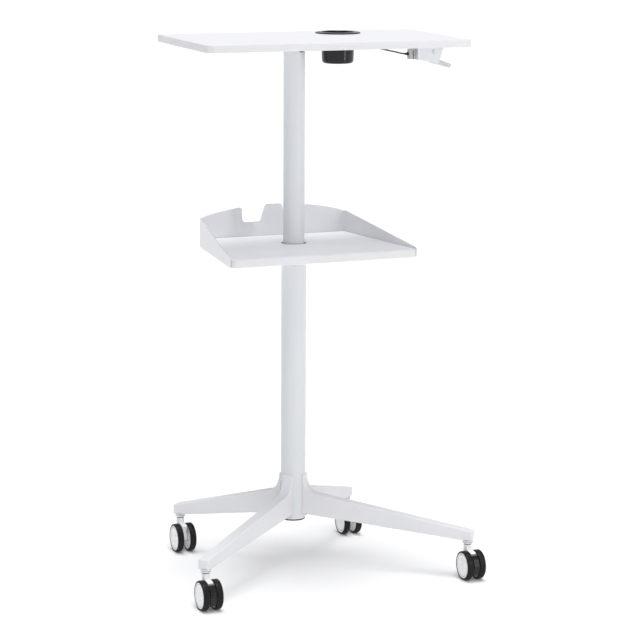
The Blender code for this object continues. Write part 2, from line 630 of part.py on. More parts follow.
def make_arm(corner):
    """A tapered arm, welded to the column's foot, with a foot fillet that rises on the tube."""
    heading, length = CORNERS[corner]
    root = LOWER_R - 6 * MM
    end = length + ARM_WIDTH / 2
    knee = LOWER_R + 15 * MM
    fillet_top = ARM_ROOT_TOP + 44 * MM
    side = [(root, ARM_ROOT_BOTTOM), (root, fillet_top), (LOWER_R + 1.5 * MM, fillet_top)]
    fillet = []
    for i in range(1, 7):
        a = radians(90 * i / 6)
        fillet.append((knee + 14 * MM - (knee + 14 * MM - LOWER_R - 1.5 * MM) * cos(a),
                       fillet_top - (fillet_top - ARM_ROOT_TOP) * sin(a)))
    side += fillet
    side += [(end, ARM_END_TOP), (end, ARM_END_BOTTOM), (end - ARM_WIDTH - 2 * MM, ARM_END_BOTTOM)]
    arm = outline("base_arm_" + corner, side, ARM_WIDTH, COLUMN, POWDER)
    arm.rotation_euler = (pi / 2, 0, heading)
    bevel(arm, ARM_EDGE, 3, 50)
    tube = rod("base_arm_" + corner + "_root", LOWER_R + GAP, (0, 0, 0.05), (0, 0, 0.30), COLUMN, None, 48)
    cut(arm, tube)
    x, y = length * cos(heading), length * sin(heading)
    drill(arm, STEM_R + GAP, (x, y, 0.05), (x, y, ARM_END_BOTTOM + 13 * MM), COLUMN, 20)


# ---------------------------------------------------------------- casters
def wheel_profile(half_width):
    """The rounded tyre round its disc, as (radius, width) points."""
    shoulder = 3 * MM
    inner = DISC_R + GAP
    points = [(inner, half_width - 0.5 * MM), (inner + 0.7 * MM, half_width)]
    points += [(r, w) for w, r in arc((half_width - shoulder, WHEEL_R - shoulder), shoulder, 0, 90, 3)]
    points += [(r, w) for w, r in arc((shoulder - half_width, WHEEL_R - shoulder), shoulder, 90, 180, 3)]
    points += [(inner + 0.7 * MM, -half_width), (inner, 0.5 * MM - half_width)]
    return points


def make_caster(corner):
    heading, length = CORNERS[corner]
    stem_axis = empty("caster_axis_" + corner, (length * cos(heading), length * sin(heading), 0), 0, COLUMN)
    ring_r = 11.5 * MM
    stem = [(0, ARM_END_BOTTOM + 12 * MM), (STEM_R, ARM_END_BOTTOM + 12 * MM), (STEM_R, RING_TOP)]
    stem += [(ring_r - 1 * MM, RING_TOP), (ring_r, RING_TOP - 1 * MM), (ring_r, RING_TOP - 3 * MM)]
    stem += [(ring_r - 1.2 * MM, RING_TOP - 4 * MM), (ring_r, RING_TOP - 5 * MM)]
    stem += [(ring_r, RING_BOTTOM + 1 * MM), (ring_r - 1 * MM, RING_BOTTOM), (STEM_R, RING_BOTTOM)]
    stem += [(STEM_R, NECK_BOTTOM + 4 * MM), (0, NECK_BOTTOM + 4 * MM)]
    turned("caster_stem_" + corner, stem, stem_axis, STEEL, 20)

    axle_place = (-TRAIL, WHEEL_R)
    rear = [(NECK_R, NECK_TOP - 4 * MM), (NECK_R, NECK_BOTTOM - 8 * MM)]
    boss = arc(axle_place, 11 * MM, -20, -205, 8)
    hood = [arc(axle_place, 18 * MM, HOOD_END, 90, 1)[0]] + arc(axle_place, PEDAL_R, HOOD_END, 95, 4)
    side = rear + boss + hood + [(-NECK_R, NECK_BOTTOM + 1 * MM), (-NECK_R, NECK_TOP - 4 * MM)]
    housing = outline("caster_housing_" + corner, side, HOUSING_WIDTH, stem_axis, WHITE)
    housing.rotation_euler = (pi / 2, 0, pi / 2)
    neck = rod("caster_neck_" + corner, NECK_R, (0, 0, NECK_BOTTOM), (0, 0, NECK_TOP), stem_axis, None, 32)
    cut(housing, neck, "UNION")
    drill(housing, STEM_R + GAP, (0, 0, NECK_BOTTOM + 3.5 * MM), (0, 0, NECK_TOP + 0.01), stem_axis, 20)
    drill(housing, 4 * MM + GAP, (-0.02, -TRAIL, WHEEL_R), (0.02, -TRAIL, WHEEL_R), stem_axis, 20)

    reach = WHEEL_SPACING / 2 + 1.6 * MM
    axle = rod("caster_axle_" + corner, 4 * MM, (-reach, -TRAIL, WHEEL_R), (reach, -TRAIL, WHEEL_R),
               stem_axis, STEEL, 16)
    bevel(axle, 0.5 * MM, 1, 60)

    half = WHEEL_WIDTH / 2
    for side_name, sign in (("left", -1), ("right", 1)):
        wheel_axis = empty("wheel_axis_%s_%s" % (corner, side_name),
                           (sign * WHEEL_SPACING / 2, -TRAIL, WHEEL_R), 0, stem_axis)
        name = "caster_tyre_%s_%s" % (corner, side_name)
        tyre = turned(name, wheel_profile(half), wheel_axis, RUBBER, WHEEL_SEGMENTS)
        tyre.rotation_euler = (0, sign * pi / 2, 0)
        face = half - 0.5 * MM
        disc = [(0, face - 3 * MM), (6 * MM, face - 2.5 * MM), (DISC_R - 5 * MM, face - 2.5 * MM)]
        disc += [(DISC_R - 3 * MM, face), (DISC_R, face), (DISC_R, -face), (4.3 * MM, -face)]
        disc += [(4.3 * MM, face - 5 * MM), (0, face - 5 * MM)]
        hub = turned("caster_wheel_%s_%s" % (corner, side_name), disc, wheel_axis, WHITE, WHEEL_SEGMENTS)
        hub.rotation_euler = (0, sign * pi / 2, 0)

    if corner.startswith("front"):
        make_brake_pedal(corner, stem_axis)


def make_brake_pedal(corner, stem_axis):
    """The crescent between the twin wheels that swings in about its upper end to lock them."""
    axle_place = (-TRAIL, WHEEL_R)
    end_r, tip_r = 5 * MM, 2.5 * MM
    pivot = arc(axle_place, PEDAL_R - end_r, PEDAL_TOP, 0, 1)[0]
    tip = arc(axle_place, PEDAL_R - tip_r, PEDAL_FOOT, 0, 1)[0]
    side = arc(pivot, end_r, PEDAL_TOP - 180, PEDAL_TOP, 6)
    side += arc(axle_place, PEDAL_R, PEDAL_TOP, PEDAL_FOOT, 9)[1:]
    side += arc(tip, tip_r, PEDAL_FOOT, PEDAL_FOOT + 180, 4)[1:]
    steps = 6
    for i in range(1, steps):
        share = i / steps
        turn = PEDAL_FOOT + (PEDAL_TOP - PEDAL_FOOT) * share
        thick = 2 * (tip_r + (end_r - tip_r) * share)
        side += arc(axle_place, PEDAL_R - thick, turn, 0, 1)[:1]
    centred = [(y - pivot[0], z - pivot[1]) for y, z in side]
    pedal = outline("brake_pedal_" + corner, centred, HOUSING_WIDTH, stem_axis, BLACK)
    pedal.location = (0, *pivot)
    pedal.rotation_euler = (pi / 2, 0, pi / 2)
    bevel(pedal, 0.8 * MM, 2, 50)


# ---------------------------------------------------------------- build
make_worktop()
make_cup_holder()
make_top_plate()
make_lever()
make_cable()
make_column()
make_gas_spring()
make_shelf()
make_gallery()
make_foot()
for place in CORNERS:
    make_arm(place)
    make_caster(place)
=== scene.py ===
"""The looks of a mobile gas-lift lectern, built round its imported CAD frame.

Metres, in the frame's axes: +Z up, +X to the user's right, +Y away from the user.  Every piece is
made in the axes of the thing it sits on (the column, the turned top, a caster's stem, a wheel) and
then rides on that thing's body.
"""
from math import atan2, cos, degrees, hypot, pi, radians, sin, sqrt, tan

import bmesh
import bpy
from mathutils import Matrix, Vector


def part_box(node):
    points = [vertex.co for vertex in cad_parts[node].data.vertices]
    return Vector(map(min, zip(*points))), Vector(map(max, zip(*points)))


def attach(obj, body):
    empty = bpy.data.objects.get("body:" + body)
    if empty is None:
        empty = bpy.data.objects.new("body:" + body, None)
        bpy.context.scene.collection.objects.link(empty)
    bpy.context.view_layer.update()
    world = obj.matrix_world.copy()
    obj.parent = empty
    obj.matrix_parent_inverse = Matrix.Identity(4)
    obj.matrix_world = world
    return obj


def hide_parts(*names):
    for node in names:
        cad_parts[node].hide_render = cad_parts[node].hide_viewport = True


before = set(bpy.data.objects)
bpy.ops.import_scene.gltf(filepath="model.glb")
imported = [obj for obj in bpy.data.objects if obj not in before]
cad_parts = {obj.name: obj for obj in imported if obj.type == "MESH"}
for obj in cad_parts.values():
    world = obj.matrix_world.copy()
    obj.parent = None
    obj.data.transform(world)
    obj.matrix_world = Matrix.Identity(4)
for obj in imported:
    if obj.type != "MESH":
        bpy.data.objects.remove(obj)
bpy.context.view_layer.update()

MM = 0.001
GAP = 0.3 * MM  # clearance between pieces that touch
CREASE = 38  # degrees between faces, above which an edge shows
ORIGIN = Matrix.Identity(4)
CORNERS = ("front_left", "front_right", "rear_left", "rear_right")
SIDES = {"left": -1, "right": 1}


# ---- places read from the frame
def at(x, y, z):
    return Matrix.Translation((x, y, z))


def about(axis, angle):
    return Matrix.Rotation(angle, 4, axis)


def local_box(node, place):
    """Lowest and highest corner of a CAD node in a place's own axes."""
    inverse = place.inverted()
    points = [inverse @ vert.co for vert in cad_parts[node].data.vertices]
    low = Vector([min(p[axis] for p in points) for axis in range(3)])
    high = Vector([max(p[axis] for p in points) for axis in range(3)])
    return low, high


def mm(*lengths):
    return [length * MM for length in lengths]


def middle(node):
    low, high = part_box(node)
    return (low + high) / 2


TOP_TURN = radians(-2)  # the column's upper half stands turned by this much
foot = middle("lower_tube")
COLUMN = at(foot.x, foot.y, 0)
TOP = COLUMN @ about("Z", TOP_TURN)
STEMS = {}
for corner in CORNERS:
    stem_middle = middle("caster_stem_" + corner)
    STEMS[corner] = at(stem_middle.x, stem_middle.y, 0)

worktop_low, worktop_high = local_box("worktop", TOP)
UNDERSIDE = worktop_low.z
WORKTOP_CORNER = 20 * MM
cup_low, cup_high = local_box("cup_holder", TOP)
CUP = (cup_low + cup_high) / 2
CUP_BODY_R = 37 * MM
CUP_FOOT_R = 35.2 * MM

tube_low, tube_high = local_box("lower_tube", COLUMN)
LOWER_R = tube_high.x
LOWER_WALL = 1.55 * MM
upper_low, upper_high = local_box("upper_tube", TOP)
UPPER_R = upper_high.x
UPPER_WALL = 1.5 * MM

wheel_low, wheel_high = local_box("caster_tyre_front_left_left", STEMS["front_left"])
WHEEL_R = (wheel_high.z - wheel_low.z) / 2
WHEEL_HALF = (wheel_high.x - wheel_low.x) / 2
TRAIL = -(wheel_high.y + wheel_low.y) / 2
disc_low, disc_high = local_box("caster_wheel_front_left_left", STEMS["front_left"])
DISC_R = (disc_high.z - disc_low.z) / 2
WHEEL_OUT = -(wheel_high.x + wheel_low.x) / 2


# ---- materials
def dial(node, **values):
    for name, value in values.items():
        node.inputs[name.replace("_", " ")].default_value = value


class Paint:
    """A procedural material: a shader whose colour, roughness and relief come from object space."""

    def __init__(self, name, colour, roughness, metallic=0.0):
        self.material = bpy.data.materials.new(name)
        self.material.use_nodes = True
        self.tree = self.material.node_tree
        self.shader = self.tree.nodes["Principled BSDF"]
        dial(self.shader, Base_Color=(*colour, 1), Roughness=roughness, Metallic=metallic)
        self.colour = colour
        self.place = self.node("ShaderNodeTexCoord").outputs["Object"]
        self.relief = None

    def node(self, kind, **settings):
        made = self.tree.nodes.new(kind)
        for key, value in settings.items():
            setattr(made, key, value)
        return made

    def link(self, output, target):
        self.tree.links.new(output, target)

    def stretched(self, scale):
        mapping = self.node("ShaderNodeMapping")
        dial(mapping, Scale=scale)
        self.link(self.place, mapping.inputs["Vector"])
        return mapping.outputs["Vector"]

    def noise(self, scale, detail=3.0, stretch=(1, 1, 1)):
        texture = self.node("ShaderNodeTexNoise")
        dial(texture, Scale=scale, Detail=detail)
        self.link(self.stretched(stretch), texture.inputs["Vector"])
        return texture.outputs["Fac"]

    def cells(self, scale):
        texture = self.node("ShaderNodeTexVoronoi", feature="SMOOTH_F1")
        dial(texture, Scale=scale)
        self.link(self.place, texture.inputs["Vector"])
        return texture.outputs["Distance"]

    def mapped(self, value, low, high, start=0.3, end=0.7):
        spread = self.node("ShaderNodeMapRange")
        dial(spread, From_Min=start, From_Max=end, To_Min=low, To_Max=high)
        self.link(value, spread.inputs["Value"])
        return spread.outputs["Result"]

    def mottle(self, factor, other):
        """Blend the base colour towards another by a factor, over any blend made before."""
        mix = self.node("ShaderNodeMix", data_type="RGBA")
        base = self.shader.inputs["Base Color"]
        if base.is_linked:
            self.link(base.links[0].from_socket, mix.inputs["A"])
        else:
            mix.inputs["A"].default_value = (*self.colour, 1)
        mix.inputs["B"].default_value = (*other, 1)
        self.link(factor, mix.inputs["Factor"])
        self.link(mix.outputs["Result"], base)

    def clouds(self, scale, detail, other, *spread):
        """Blend the base colour towards another in patches of noise."""
        self.mottle(self.mapped(self.noise(scale, detail), *(spread or (0, 1))), other)

    def sheen(self, scale, detail, low, high, stretch=(1, 1, 1)):
        """Let the roughness wander between two values."""
        value = self.mapped(self.noise(scale, detail, stretch), low, high)
        self.link(value, self.shader.inputs["Roughness"])

    def bump(self, height, distance, strength=0.5):
        """Relief of the given height in metres, over any relief made before."""
        made = self.node("ShaderNodeBump")
        dial(made, Strength=strength, Distance=distance)
        self.link(height, made.inputs["Height"])
        if self.relief:
            self.link(self.relief, made.inputs["Normal"])
        self.relief = made.outputs["Normal"]
        self.link(self.relief, self.shader.inputs["Normal"])

    def coat(self, weight, roughness):
        dial(self.shader, Coat_Weight=weight, Coat_Roughness=roughness)


def shade(colour, factor):
    return tuple(min(1.0, c * factor) for c in colour)


def laminate(name, colour):
    """White melamine: a pearl of fine pits, with faint clouds in its tone and sheen."""
    paint = Paint(name, colour, 0.42)
    paint.clouds(9, 2, shade(paint.colour, 0.985))
    paint.clouds(1400, 2, shade(paint.colour, 0.965), 0, 0.5, 0.4, 0.62)
    paint.sheen(60, 4, 0.38, 0.50)
    paint.bump(paint.cells(1500), 0.00006, 0.5)
    paint.bump(paint.noise(420, 3), 0.00008, 0.35)
    return paint.material


def edge_band_painted_shade():
    """The laminate's plastic edging: smoother, with faint marks of the trimming cutter; painted a
    darker grey than the laminate as painted shade on the boards' sides.
    """
    paint = Paint("edging_painted_shade", (0.70, 0.70, 0.715), 0.36)
    paint.clouds(14, 2, shade(paint.colour, 0.98))
    paint.sheen(90, 3, 0.32, 0.44)
    paint.bump(paint.noise(260, 2, (1, 1, 6)), 0.00005, 0.4)
    return paint.material


def powder(name, colour):
    """Powder coat: an orange-peel skin with fine grit and a satin sheen."""
    paint = Paint(name, colour, 0.38)
    paint.clouds(7, 3, shade(colour, 0.975))
    paint.clouds(1900, 1, shade(colour, 0.95), 0, 0.6, 0.5, 0.7)
    paint.sheen(140, 3, 0.32, 0.45)
    paint.bump(paint.noise(520, 2), 0.00012, 0.45)
    paint.bump(paint.cells(2100), 0.00004, 0.4)
    paint.coat(0.12, 0.30)
    return paint.material


def moulded(name, colour, gloss=(0.34, 0.48), grain=1300, depth=0.00007, mirror=0.5):
    """Moulded plastic: spark-eroded grain, flow marks and a little handling shine."""
    paint = Paint(name, colour, gloss[0])
    dial(paint.shader, Specular_IOR_Level=mirror)
    paint.clouds(25, 4, shade(colour, 0.93))
    paint.clouds(180, 2, shade(colour, 1.12), 0, 0.5, 0.55, 0.75)
    paint.sheen(45, 4, *gloss)
    paint.bump(paint.cells(grain), depth, 0.5)
    paint.bump(paint.noise(240, 2), 0.00005, 0.3)
    return paint.material


def gloss_black():
    """The cup holder's polished black, with soft swirls of wear."""
    paint = Paint("gloss_black_plastic", (0.006, 0.006, 0.008), 0.20)
    dial(paint.shader, Specular_IOR_Level=0.30)
    paint.clouds(30, 4, (0.010, 0.010, 0.012))
    paint.sheen(70, 5, 0.09, 0.17, (1, 1, 0.4))
    paint.bump(paint.noise(330, 3), 0.00004, 0.4)
    return paint.material


def rubber():
    """Black tread: matt and finely grained, greyed by floor dust where it rolls."""
    paint = Paint("black_tread", (0.005, 0.005, 0.006), 0.36)
    dial(paint.shader, Specular_IOR_Level=0.20)
    axes = paint.node("ShaderNodeSeparateXYZ")
    paint.link(paint.place, axes.inputs["Vector"])
    flat = paint.node("ShaderNodeCombineXYZ")
    paint.link(axes.outputs["Y"], flat.inputs["Y"])
    paint.link(axes.outputs["Z"], flat.inputs["Z"])
    radius = paint.node("ShaderNodeVectorMath", operation="LENGTH")
    paint.link(flat.outputs["Vector"], radius.inputs[0])
    tread = paint.mapped(radius.outputs["Value"], 0, 1, WHEEL_R - 2.5 * MM, WHEEL_R)
    dusty = paint.node("ShaderNodeMath", operation="MULTIPLY")
    paint.link(tread, dusty.inputs[0])
    paint.link(paint.mapped(paint.noise(160, 5), 0, 0.55, 0.45, 0.75), dusty.inputs[1])
    paint.clouds(60, 3, (0.008, 0.008, 0.009))
    paint.mottle(dusty.outputs["Value"], (0.026, 0.025, 0.024))
    paint.sheen(300, 3, 0.26, 0.42)
    paint.bump(paint.cells(1700), 0.00008, 0.5)
    return paint.material


def plated(name, colour, gloss, rings):
    """Plated or bare steel with fine turning marks that run round its local Z axis."""
    paint = Paint(name, colour, gloss[0], 1.0)
    paint.clouds(80, 4, shade(colour, 0.82))
    paint.sheen(rings, 2, *gloss, (0.02, 0.02, 1))
    paint.bump(paint.noise(rings, 2, (0.02, 0.02, 1)), 0.00003, 0.35)
    return paint.material


def sheath():
    """The cable's extruded black sheath."""
    paint = Paint("cable_sheath", (0.014, 0.014, 0.015), 0.42)
    paint.clouds(120, 3, (0.024, 0.024, 0.026))
    paint.sheen(400, 3, 0.34, 0.52)
    paint.bump(paint.noise(900, 3), 0.00005, 0.5)
    return paint.material


LAMINATE = laminate("white_laminate", (0.83, 0.83, 0.862))
# The same white laminate, painted lighter on the shelf as painted light under the worktop's shade.
SHELF_PAINTED_LIGHT_LAMINATE = laminate("white_laminate_painted_light", (0.92, 0.92, 0.955))
EDGE_BAND_PAINTED_SHADE = edge_band_painted_shade()
# The same white powder coat, painted darker as painted shade on the tubes, welds, lever and bracket.
PAINTED_SHADE_POWDER = powder("white_powder_coat_painted_shade", (0.68, 0.70, 0.72))
POWDER = powder("white_powder_coat", (0.79, 0.79, 0.818))
# The same white powder coat, painted a little darker on the arms as painted shade.
ARM_PAINTED_SHADE_POWDER = powder("base_powder_coat_painted_shade", (0.745, 0.745, 0.772))
GLOSS_BLACK = gloss_black()
BLACK = moulded("black_plastic", (0.006, 0.006, 0.007), (0.18, 0.28), mirror=0.36)
GRIP = moulded("light_grey_grip", (0.56, 0.56, 0.565), (0.40, 0.52))
WHITE = moulded("white_plastic", (0.90, 0.90, 0.905), (0.20, 0.32), 1500, 0.00003)
# Grey for the floor of the wheels' groove near the rim: painted shade.
GROOVE_SHADE_GREY = moulded("groove_painted_shade_grey", (0.36, 0.36, 0.37))
GREY = moulded("grey_plastic", (0.42, 0.42, 0.43))
TREAD = rubber()
STEEL = plated("bright_plated_steel", (0.74, 0.75, 0.77), (0.16, 0.30), 5200)
SATIN_STEEL = plated("satin_steel", (0.62, 0.63, 0.65), (0.38, 0.52), 3000)
DARK_STEEL = plated("dark_coated_steel", (0.16, 0.16, 0.17), (0.30, 0.46), 3800)
CABLE = sheath()


# ---- outlines
def arc(centre, radius, start, end, steps=8):
    """Points on an arc in a plane, angles in degrees."""
    turns = [radians(start + (end - start) * i / steps) for i in range(steps + 1)]
    return [(centre[0] + radius * cos(a), centre[1] + radius * sin(a)) for a in turns]


def rounded(points, radii, steps=6, closed=True):
    """An outline with an arc at each corner; a radius of 0 keeps the corner."""
    made = []
    last = len(points) - 1
    for i, point in enumerate(points):
        radius = radii[i] if isinstance(radii, (list, tuple)) else radii
        if radius <= 0 or (not closed and i in (0, last)):
            made.append(tuple(point))
            continue
        here = Vector(point)
        back = Vector(points[i - 1]) - here
        ahead = Vector(points[(i + 1) % len(points)]) - here
        half = back.angle(ahead) / 2
        reach = min(radius / tan(half), 0.48 * min(back.length, ahead.length))
        back.normalize()
        ahead.normalize()
        centre = here + (back + ahead).normalized() * reach / cos(half)
        first = here + back * reach - centre
        turn = first.angle_signed(here + ahead * reach - centre)
        start = atan2(first.y, first.x)
        for k in range(steps + 1):
            a = start - turn * k / steps
            made.append((centre.x + first.length * cos(a), centre.y + first.length * sin(a)))
    return made


def moved_in(points, inset):
    """An anticlockwise outline with every side moved inwards."""
    made = []
    for i, point in enumerate(points):
        here = Vector(point)
        normals = []
        for a, b in ((Vector(points[i - 1]), here), (here, Vector(points[(i + 1) % len(points)]))):
            along = (b - a).normalized()
            normals.append(Vector((-along.y, along.x)))
        first, second = normals
        made.append(tuple(here + inset * (first + second) / (1 + first.dot(second))))
    return made


def rectangle(low, high):
    return [(low.x, low.y), (high.x, low.y), (high.x, high.y), (low.x, high.y)]


def edge_section(low, high, radius, seam=0.0, steps=5):
    """(inset, height) points up the edge of a board: rounded arrises, and a seam beside each."""
    half = [(radius, low)]
    for i in range(1, steps + 1):
        a = radians(90 * i / steps)
        half.append((radius * (1 - sin(a)), low + radius * (1 - cos(a))))
    if seam:
        depth = 0.14 * MM
        inner = radius + seam
        half = [(inner + 0.28 * MM, low), (inner + 0.2 * MM, low + depth),
                (inner + 0.08 * MM, low + depth), (inner, low)] + half
    return half + [(inset, low + high - height) for inset, height in reversed(half)]


# ---- mesh builders
def bridge(bm, lower, upper, closed=True):
    count = len(lower)
    for i in range(count if closed else count - 1):
        j = (i + 1) % count
        bm.faces.new((lower[i], lower[j], upper[j], upper[i]))


def bridge_run(bm, loops):
    for lower, upper in zip(loops, loops[1:]):
        bridge(bm, lower, upper)


def fill(bm, *loops):
    """A flat face between closed loops of vertices, the first of them the outer one."""
    edges = []
    for loop in loops:
        for a, b in zip(loop, loop[1:] + loop[:1]):
            edges.append(bm.edges.get((a, b)) or bm.edges.new((a, b)))
    bmesh.ops.triangle_fill(bm, edges=edges, use_beauty=True)


def circle(bm, centre, radius, height, segments):
    turns = [2 * pi * i / segments for i in range(segments)]
    return [bm.verts.new((centre[0] + radius * cos(a), centre[1] + radius * sin(a), height))
            for a in turns]


def slab(bm, corners, radii, section, holes=(), steps=10):
    """A board from its rounded outline and its edge section; holes are (centre, radius, chamfer)."""
    loops = []
    for inset, height in section:
        softened = [max(radius - inset, 0.1 * MM) for radius in radii]
        outline = rounded(moved_in(corners, inset), softened, steps)
        loops.append([bm.verts.new((x, y, height)) for x, y in outline])
    bridge_run(bm, loops)
    bottoms, tops = [loops[0]], [loops[-1]]
    low, high = section[0][1], section[-1][1]
    for centre, radius, chamfer in holes:
        levels = [(radius + chamfer, low), (radius, low + chamfer)]
        levels += [(radius, high - chamfer), (radius + chamfer, high)]
        rings = [circle(bm, centre, r, z, 72) for r, z in levels]
        bridge_run(bm, rings)
        bottoms.append(rings[0])
        tops.append(rings[-1])
    fill(bm, *bottoms)
    fill(bm, *tops)


def lathe(bm, profile, segments=64, place=ORIGIN, closed=False):
    """Turn (radius, height) points about a place's Z axis; radius 0 is a pole."""
    rings = []
    for radius, height in profile:
        count = segments if radius > 1e-7 else 1
        turns = [2 * pi * i / count for i in range(count)]
        rings.append([bm.verts.new(place @ Vector((radius * cos(a), radius * sin(a), height)))
                      for a in turns])
    for lower, upper in zip(rings, rings[1:] + (rings[:1] if closed else [])):
        if len(lower) == 1 or len(upper) == 1:
            pole, rim = (lower[0], upper) if len(lower) == 1 else (upper[0], lower)
            for a, b in zip(rim, rim[1:] + rim[:1]):
                bm.faces.new((pole, a, b))
        else:
            bridge(bm, lower, upper)


def solid_rod(radius, low, high):
    """A solid rod's section, for lathe."""
    return [(0, low), (radius, low), (radius, high), (0, high)]


def wall(outer, inner, low, high, chamfer=0.3 * MM):
    """A closed tube section with broken edges, for lathe(closed=True)."""
    corners = [(outer, low), (outer, high), (inner, high), (inner, low)]
    return rounded(corners, chamfer, 3)


def prism(bm, outline, half, place=ORIGIN):
    """An outline in a place's XZ plane, as thick as 2 * half along its Y axis."""
    sides = []
    for y in (-half, half):
        sides.append([bm.verts.new(place @ Vector((x, y, z))) for x, z in outline])
    bridge(bm, *sides)
    for loop in sides:
        bm.faces.new(loop)


def sweep(bm, points, radii, sides=16, closed=False):
    """A round tube through points, its radius given at each of them."""
    up = Vector((0, 0, 1))
    rings = []
    for i, point in enumerate(points):
        after = points[(i + 1) % len(points)] if closed else points[min(i + 1, len(points) - 1)]
        before = points[i - 1] if closed or i else point
        along = (after - before).normalized()
        across = up.cross(along).normalized()
        lift = along.cross(across)
        rings.append([bm.verts.new(point + radii[i] * (across * cos(a) + lift * sin(a)))
                      for a in (2 * pi * k / sides for k in range(sides))])
    bridge_run(bm, rings + (rings[:1] if closed else []))
    if not closed:
        bm.faces.new(rings[0])
        bm.faces.new(rings[-1])


def weld(bm, radius, height, bead, lumps):
    """A weld bead with its overlapping lumps, round a tube."""
    count = lumps * 6
    points, radii = [], []
    for i in range(count):
        a = 2 * pi * i / count
        points.append(Vector((radius * cos(a), radius * sin(a), height)))
        radii.append(bead * (1 + 0.10 * sin(lumps * a)))
    sweep(bm, points, radii, 12, closed=True)


def screw(bm, place, head_r, head, shank_r, shank):
    """A pan-head screw with a hexagon socket; the head's seat is at the place's origin."""
    hexagon = 0.50 * head_r
    shoulder = rounded([(shank_r, -shank), (shank_r, 0), (head_r, 0), (head_r, head),
                        (hexagon * 1.25, head)], [0, 0, 0.15 * MM, 0.55 * head, 0], 5, closed=False)
    segments = 36
    lathe(bm, [(0, -shank)] + shoulder, segments, place)
    bm.verts.ensure_lookup_table()
    rim = [bm.verts[i] for i in range(len(bm.verts) - segments, len(bm.verts))]
    key = []
    for height in (head, head * 0.35):
        points = [(hexagon * cos(k * pi / 3), hexagon * sin(k * pi / 3), height) for k in range(6)]
        key.append([bm.verts.new(place @ Vector(point)) for point in points])
    fill(bm, rim, key[0])
    bridge(bm, *key)
    bm.faces.new(key[1])


# ---- pieces
def shaded(obj):
    """Smooth shading with sharp creases, flat faces kept flat."""
    obj.data.shade_smooth()
    obj.data.set_sharp_from_angle(angle=radians(CREASE))
    keep_flat = obj.modifiers.new("flat_faces", "WEIGHTED_NORMAL")
    keep_flat.keep_sharp = True
    keep_flat.weight = 80


def add(name, data):
    obj = bpy.data.objects.new(name, data)
    bpy.context.scene.collection.objects.link(obj)
    return obj


def new_object(name, build, soften=None):
    """An object from build(bm), with its edges rounded by (width, segments) if asked."""
    bm = bmesh.new()
    build(bm)
    bmesh.ops.recalc_face_normals(bm, faces=bm.faces[:])
    mesh = bpy.data.meshes.new(name)
    bm.to_mesh(mesh)
    bm.free()
    obj = add(name, mesh)
    if soften:
        width, segments = soften
        bevel = obj.modifiers.new("soft_edges", "BEVEL")
        bevel.width = width
        bevel.segments = segments
        bevel.limit_method = "ANGLE"
        bevel.angle_limit = radians(CREASE)
        bevel.miter_outer = "MITER_ARC"
        bake(obj)
    return obj


def bake(obj):
    """Apply the modifiers that an object has."""
    evaluated = obj.evaluated_get(bpy.context.evaluated_depsgraph_get())
    mesh = bpy.data.meshes.new_from_object(evaluated)
    old = obj.data
    obj.modifiers.clear()
    obj.data = mesh
    bpy.data.meshes.remove(old)


def combine(obj, tool, operation="DIFFERENCE"):
    """Cut obj with a tool, or unite them, and remove the tool."""
    boolean = obj.modifiers.new("combine", "BOOLEAN")
    boolean.operation = operation
    boolean.solver = "EXACT"
    boolean.object = tool
    bake(obj)
    bpy.data.objects.remove(tool, do_unlink=True)


def lathed(name, profile, segments=64, place=ORIGIN, closed=False):
    return new_object(name, lambda bm: lathe(bm, profile, segments, place, closed))


def slabbed(name, *shape):
    return new_object(name, lambda bm: slab(bm, *shape))


def extruded(name, outline, half, soften, place=ORIGIN):
    return new_object(name, lambda bm: prism(bm, outline, half, place), soften)


def mount(obj, material, body, place=ORIGIN, stands_for=(), second=None):
    """Give a finished object its place, material, body and the CAD nodes that it stands for."""
    obj.matrix_world = place
    obj.data.materials.clear()
    obj.data.materials.append(material)
    if second:
        obj.data.materials.append(second[0])
        for face in obj.data.polygons:
            face.material_index = int(second[1](face))
    shaded(obj)
    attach(obj, body)
    if stands_for:
        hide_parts(*stands_for)
    return obj


def keep(node, material):
    """A CAD node whose shape is right, with a better finish."""
    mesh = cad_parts[node].data
    mesh.materials.clear()
    mesh.materials.append(material)


# ---- worktop
def make_worktop():
    """The laminated board, its edge band's seam and the hole that the cup holder drops into."""
    corners = rectangle(worktop_low, worktop_high)
    hole = ((CUP.x, CUP.y), CUP_BODY_R + 0.5 * MM, 0.5 * MM)
    section = edge_section(worktop_low.z, worktop_high.z, 2 * MM, 0.5 * MM)
    board = slabbed("worktop_board", corners, [WORKTOP_CORNER] * 4, section, [hole], 16)
    seam = 2.45 * MM

    def on_edge(face):
        x = worktop_high.x - abs(face.center.x)
        y = min(face.center.y - worktop_low.y, worktop_high.y - face.center.y)
        in_corner = hypot(max(0, WORKTOP_CORNER - x), max(0, WORKTOP_CORNER - y))
        return min(x, y) < seam or in_corner > WORKTOP_CORNER - seam

    # The worktop's sides and arrises get the edging's darker grey: painted shade.
    mount(board, LAMINATE, "top", TOP, ["worktop"], (EDGE_BAND_PAINTED_SHADE, on_edge))


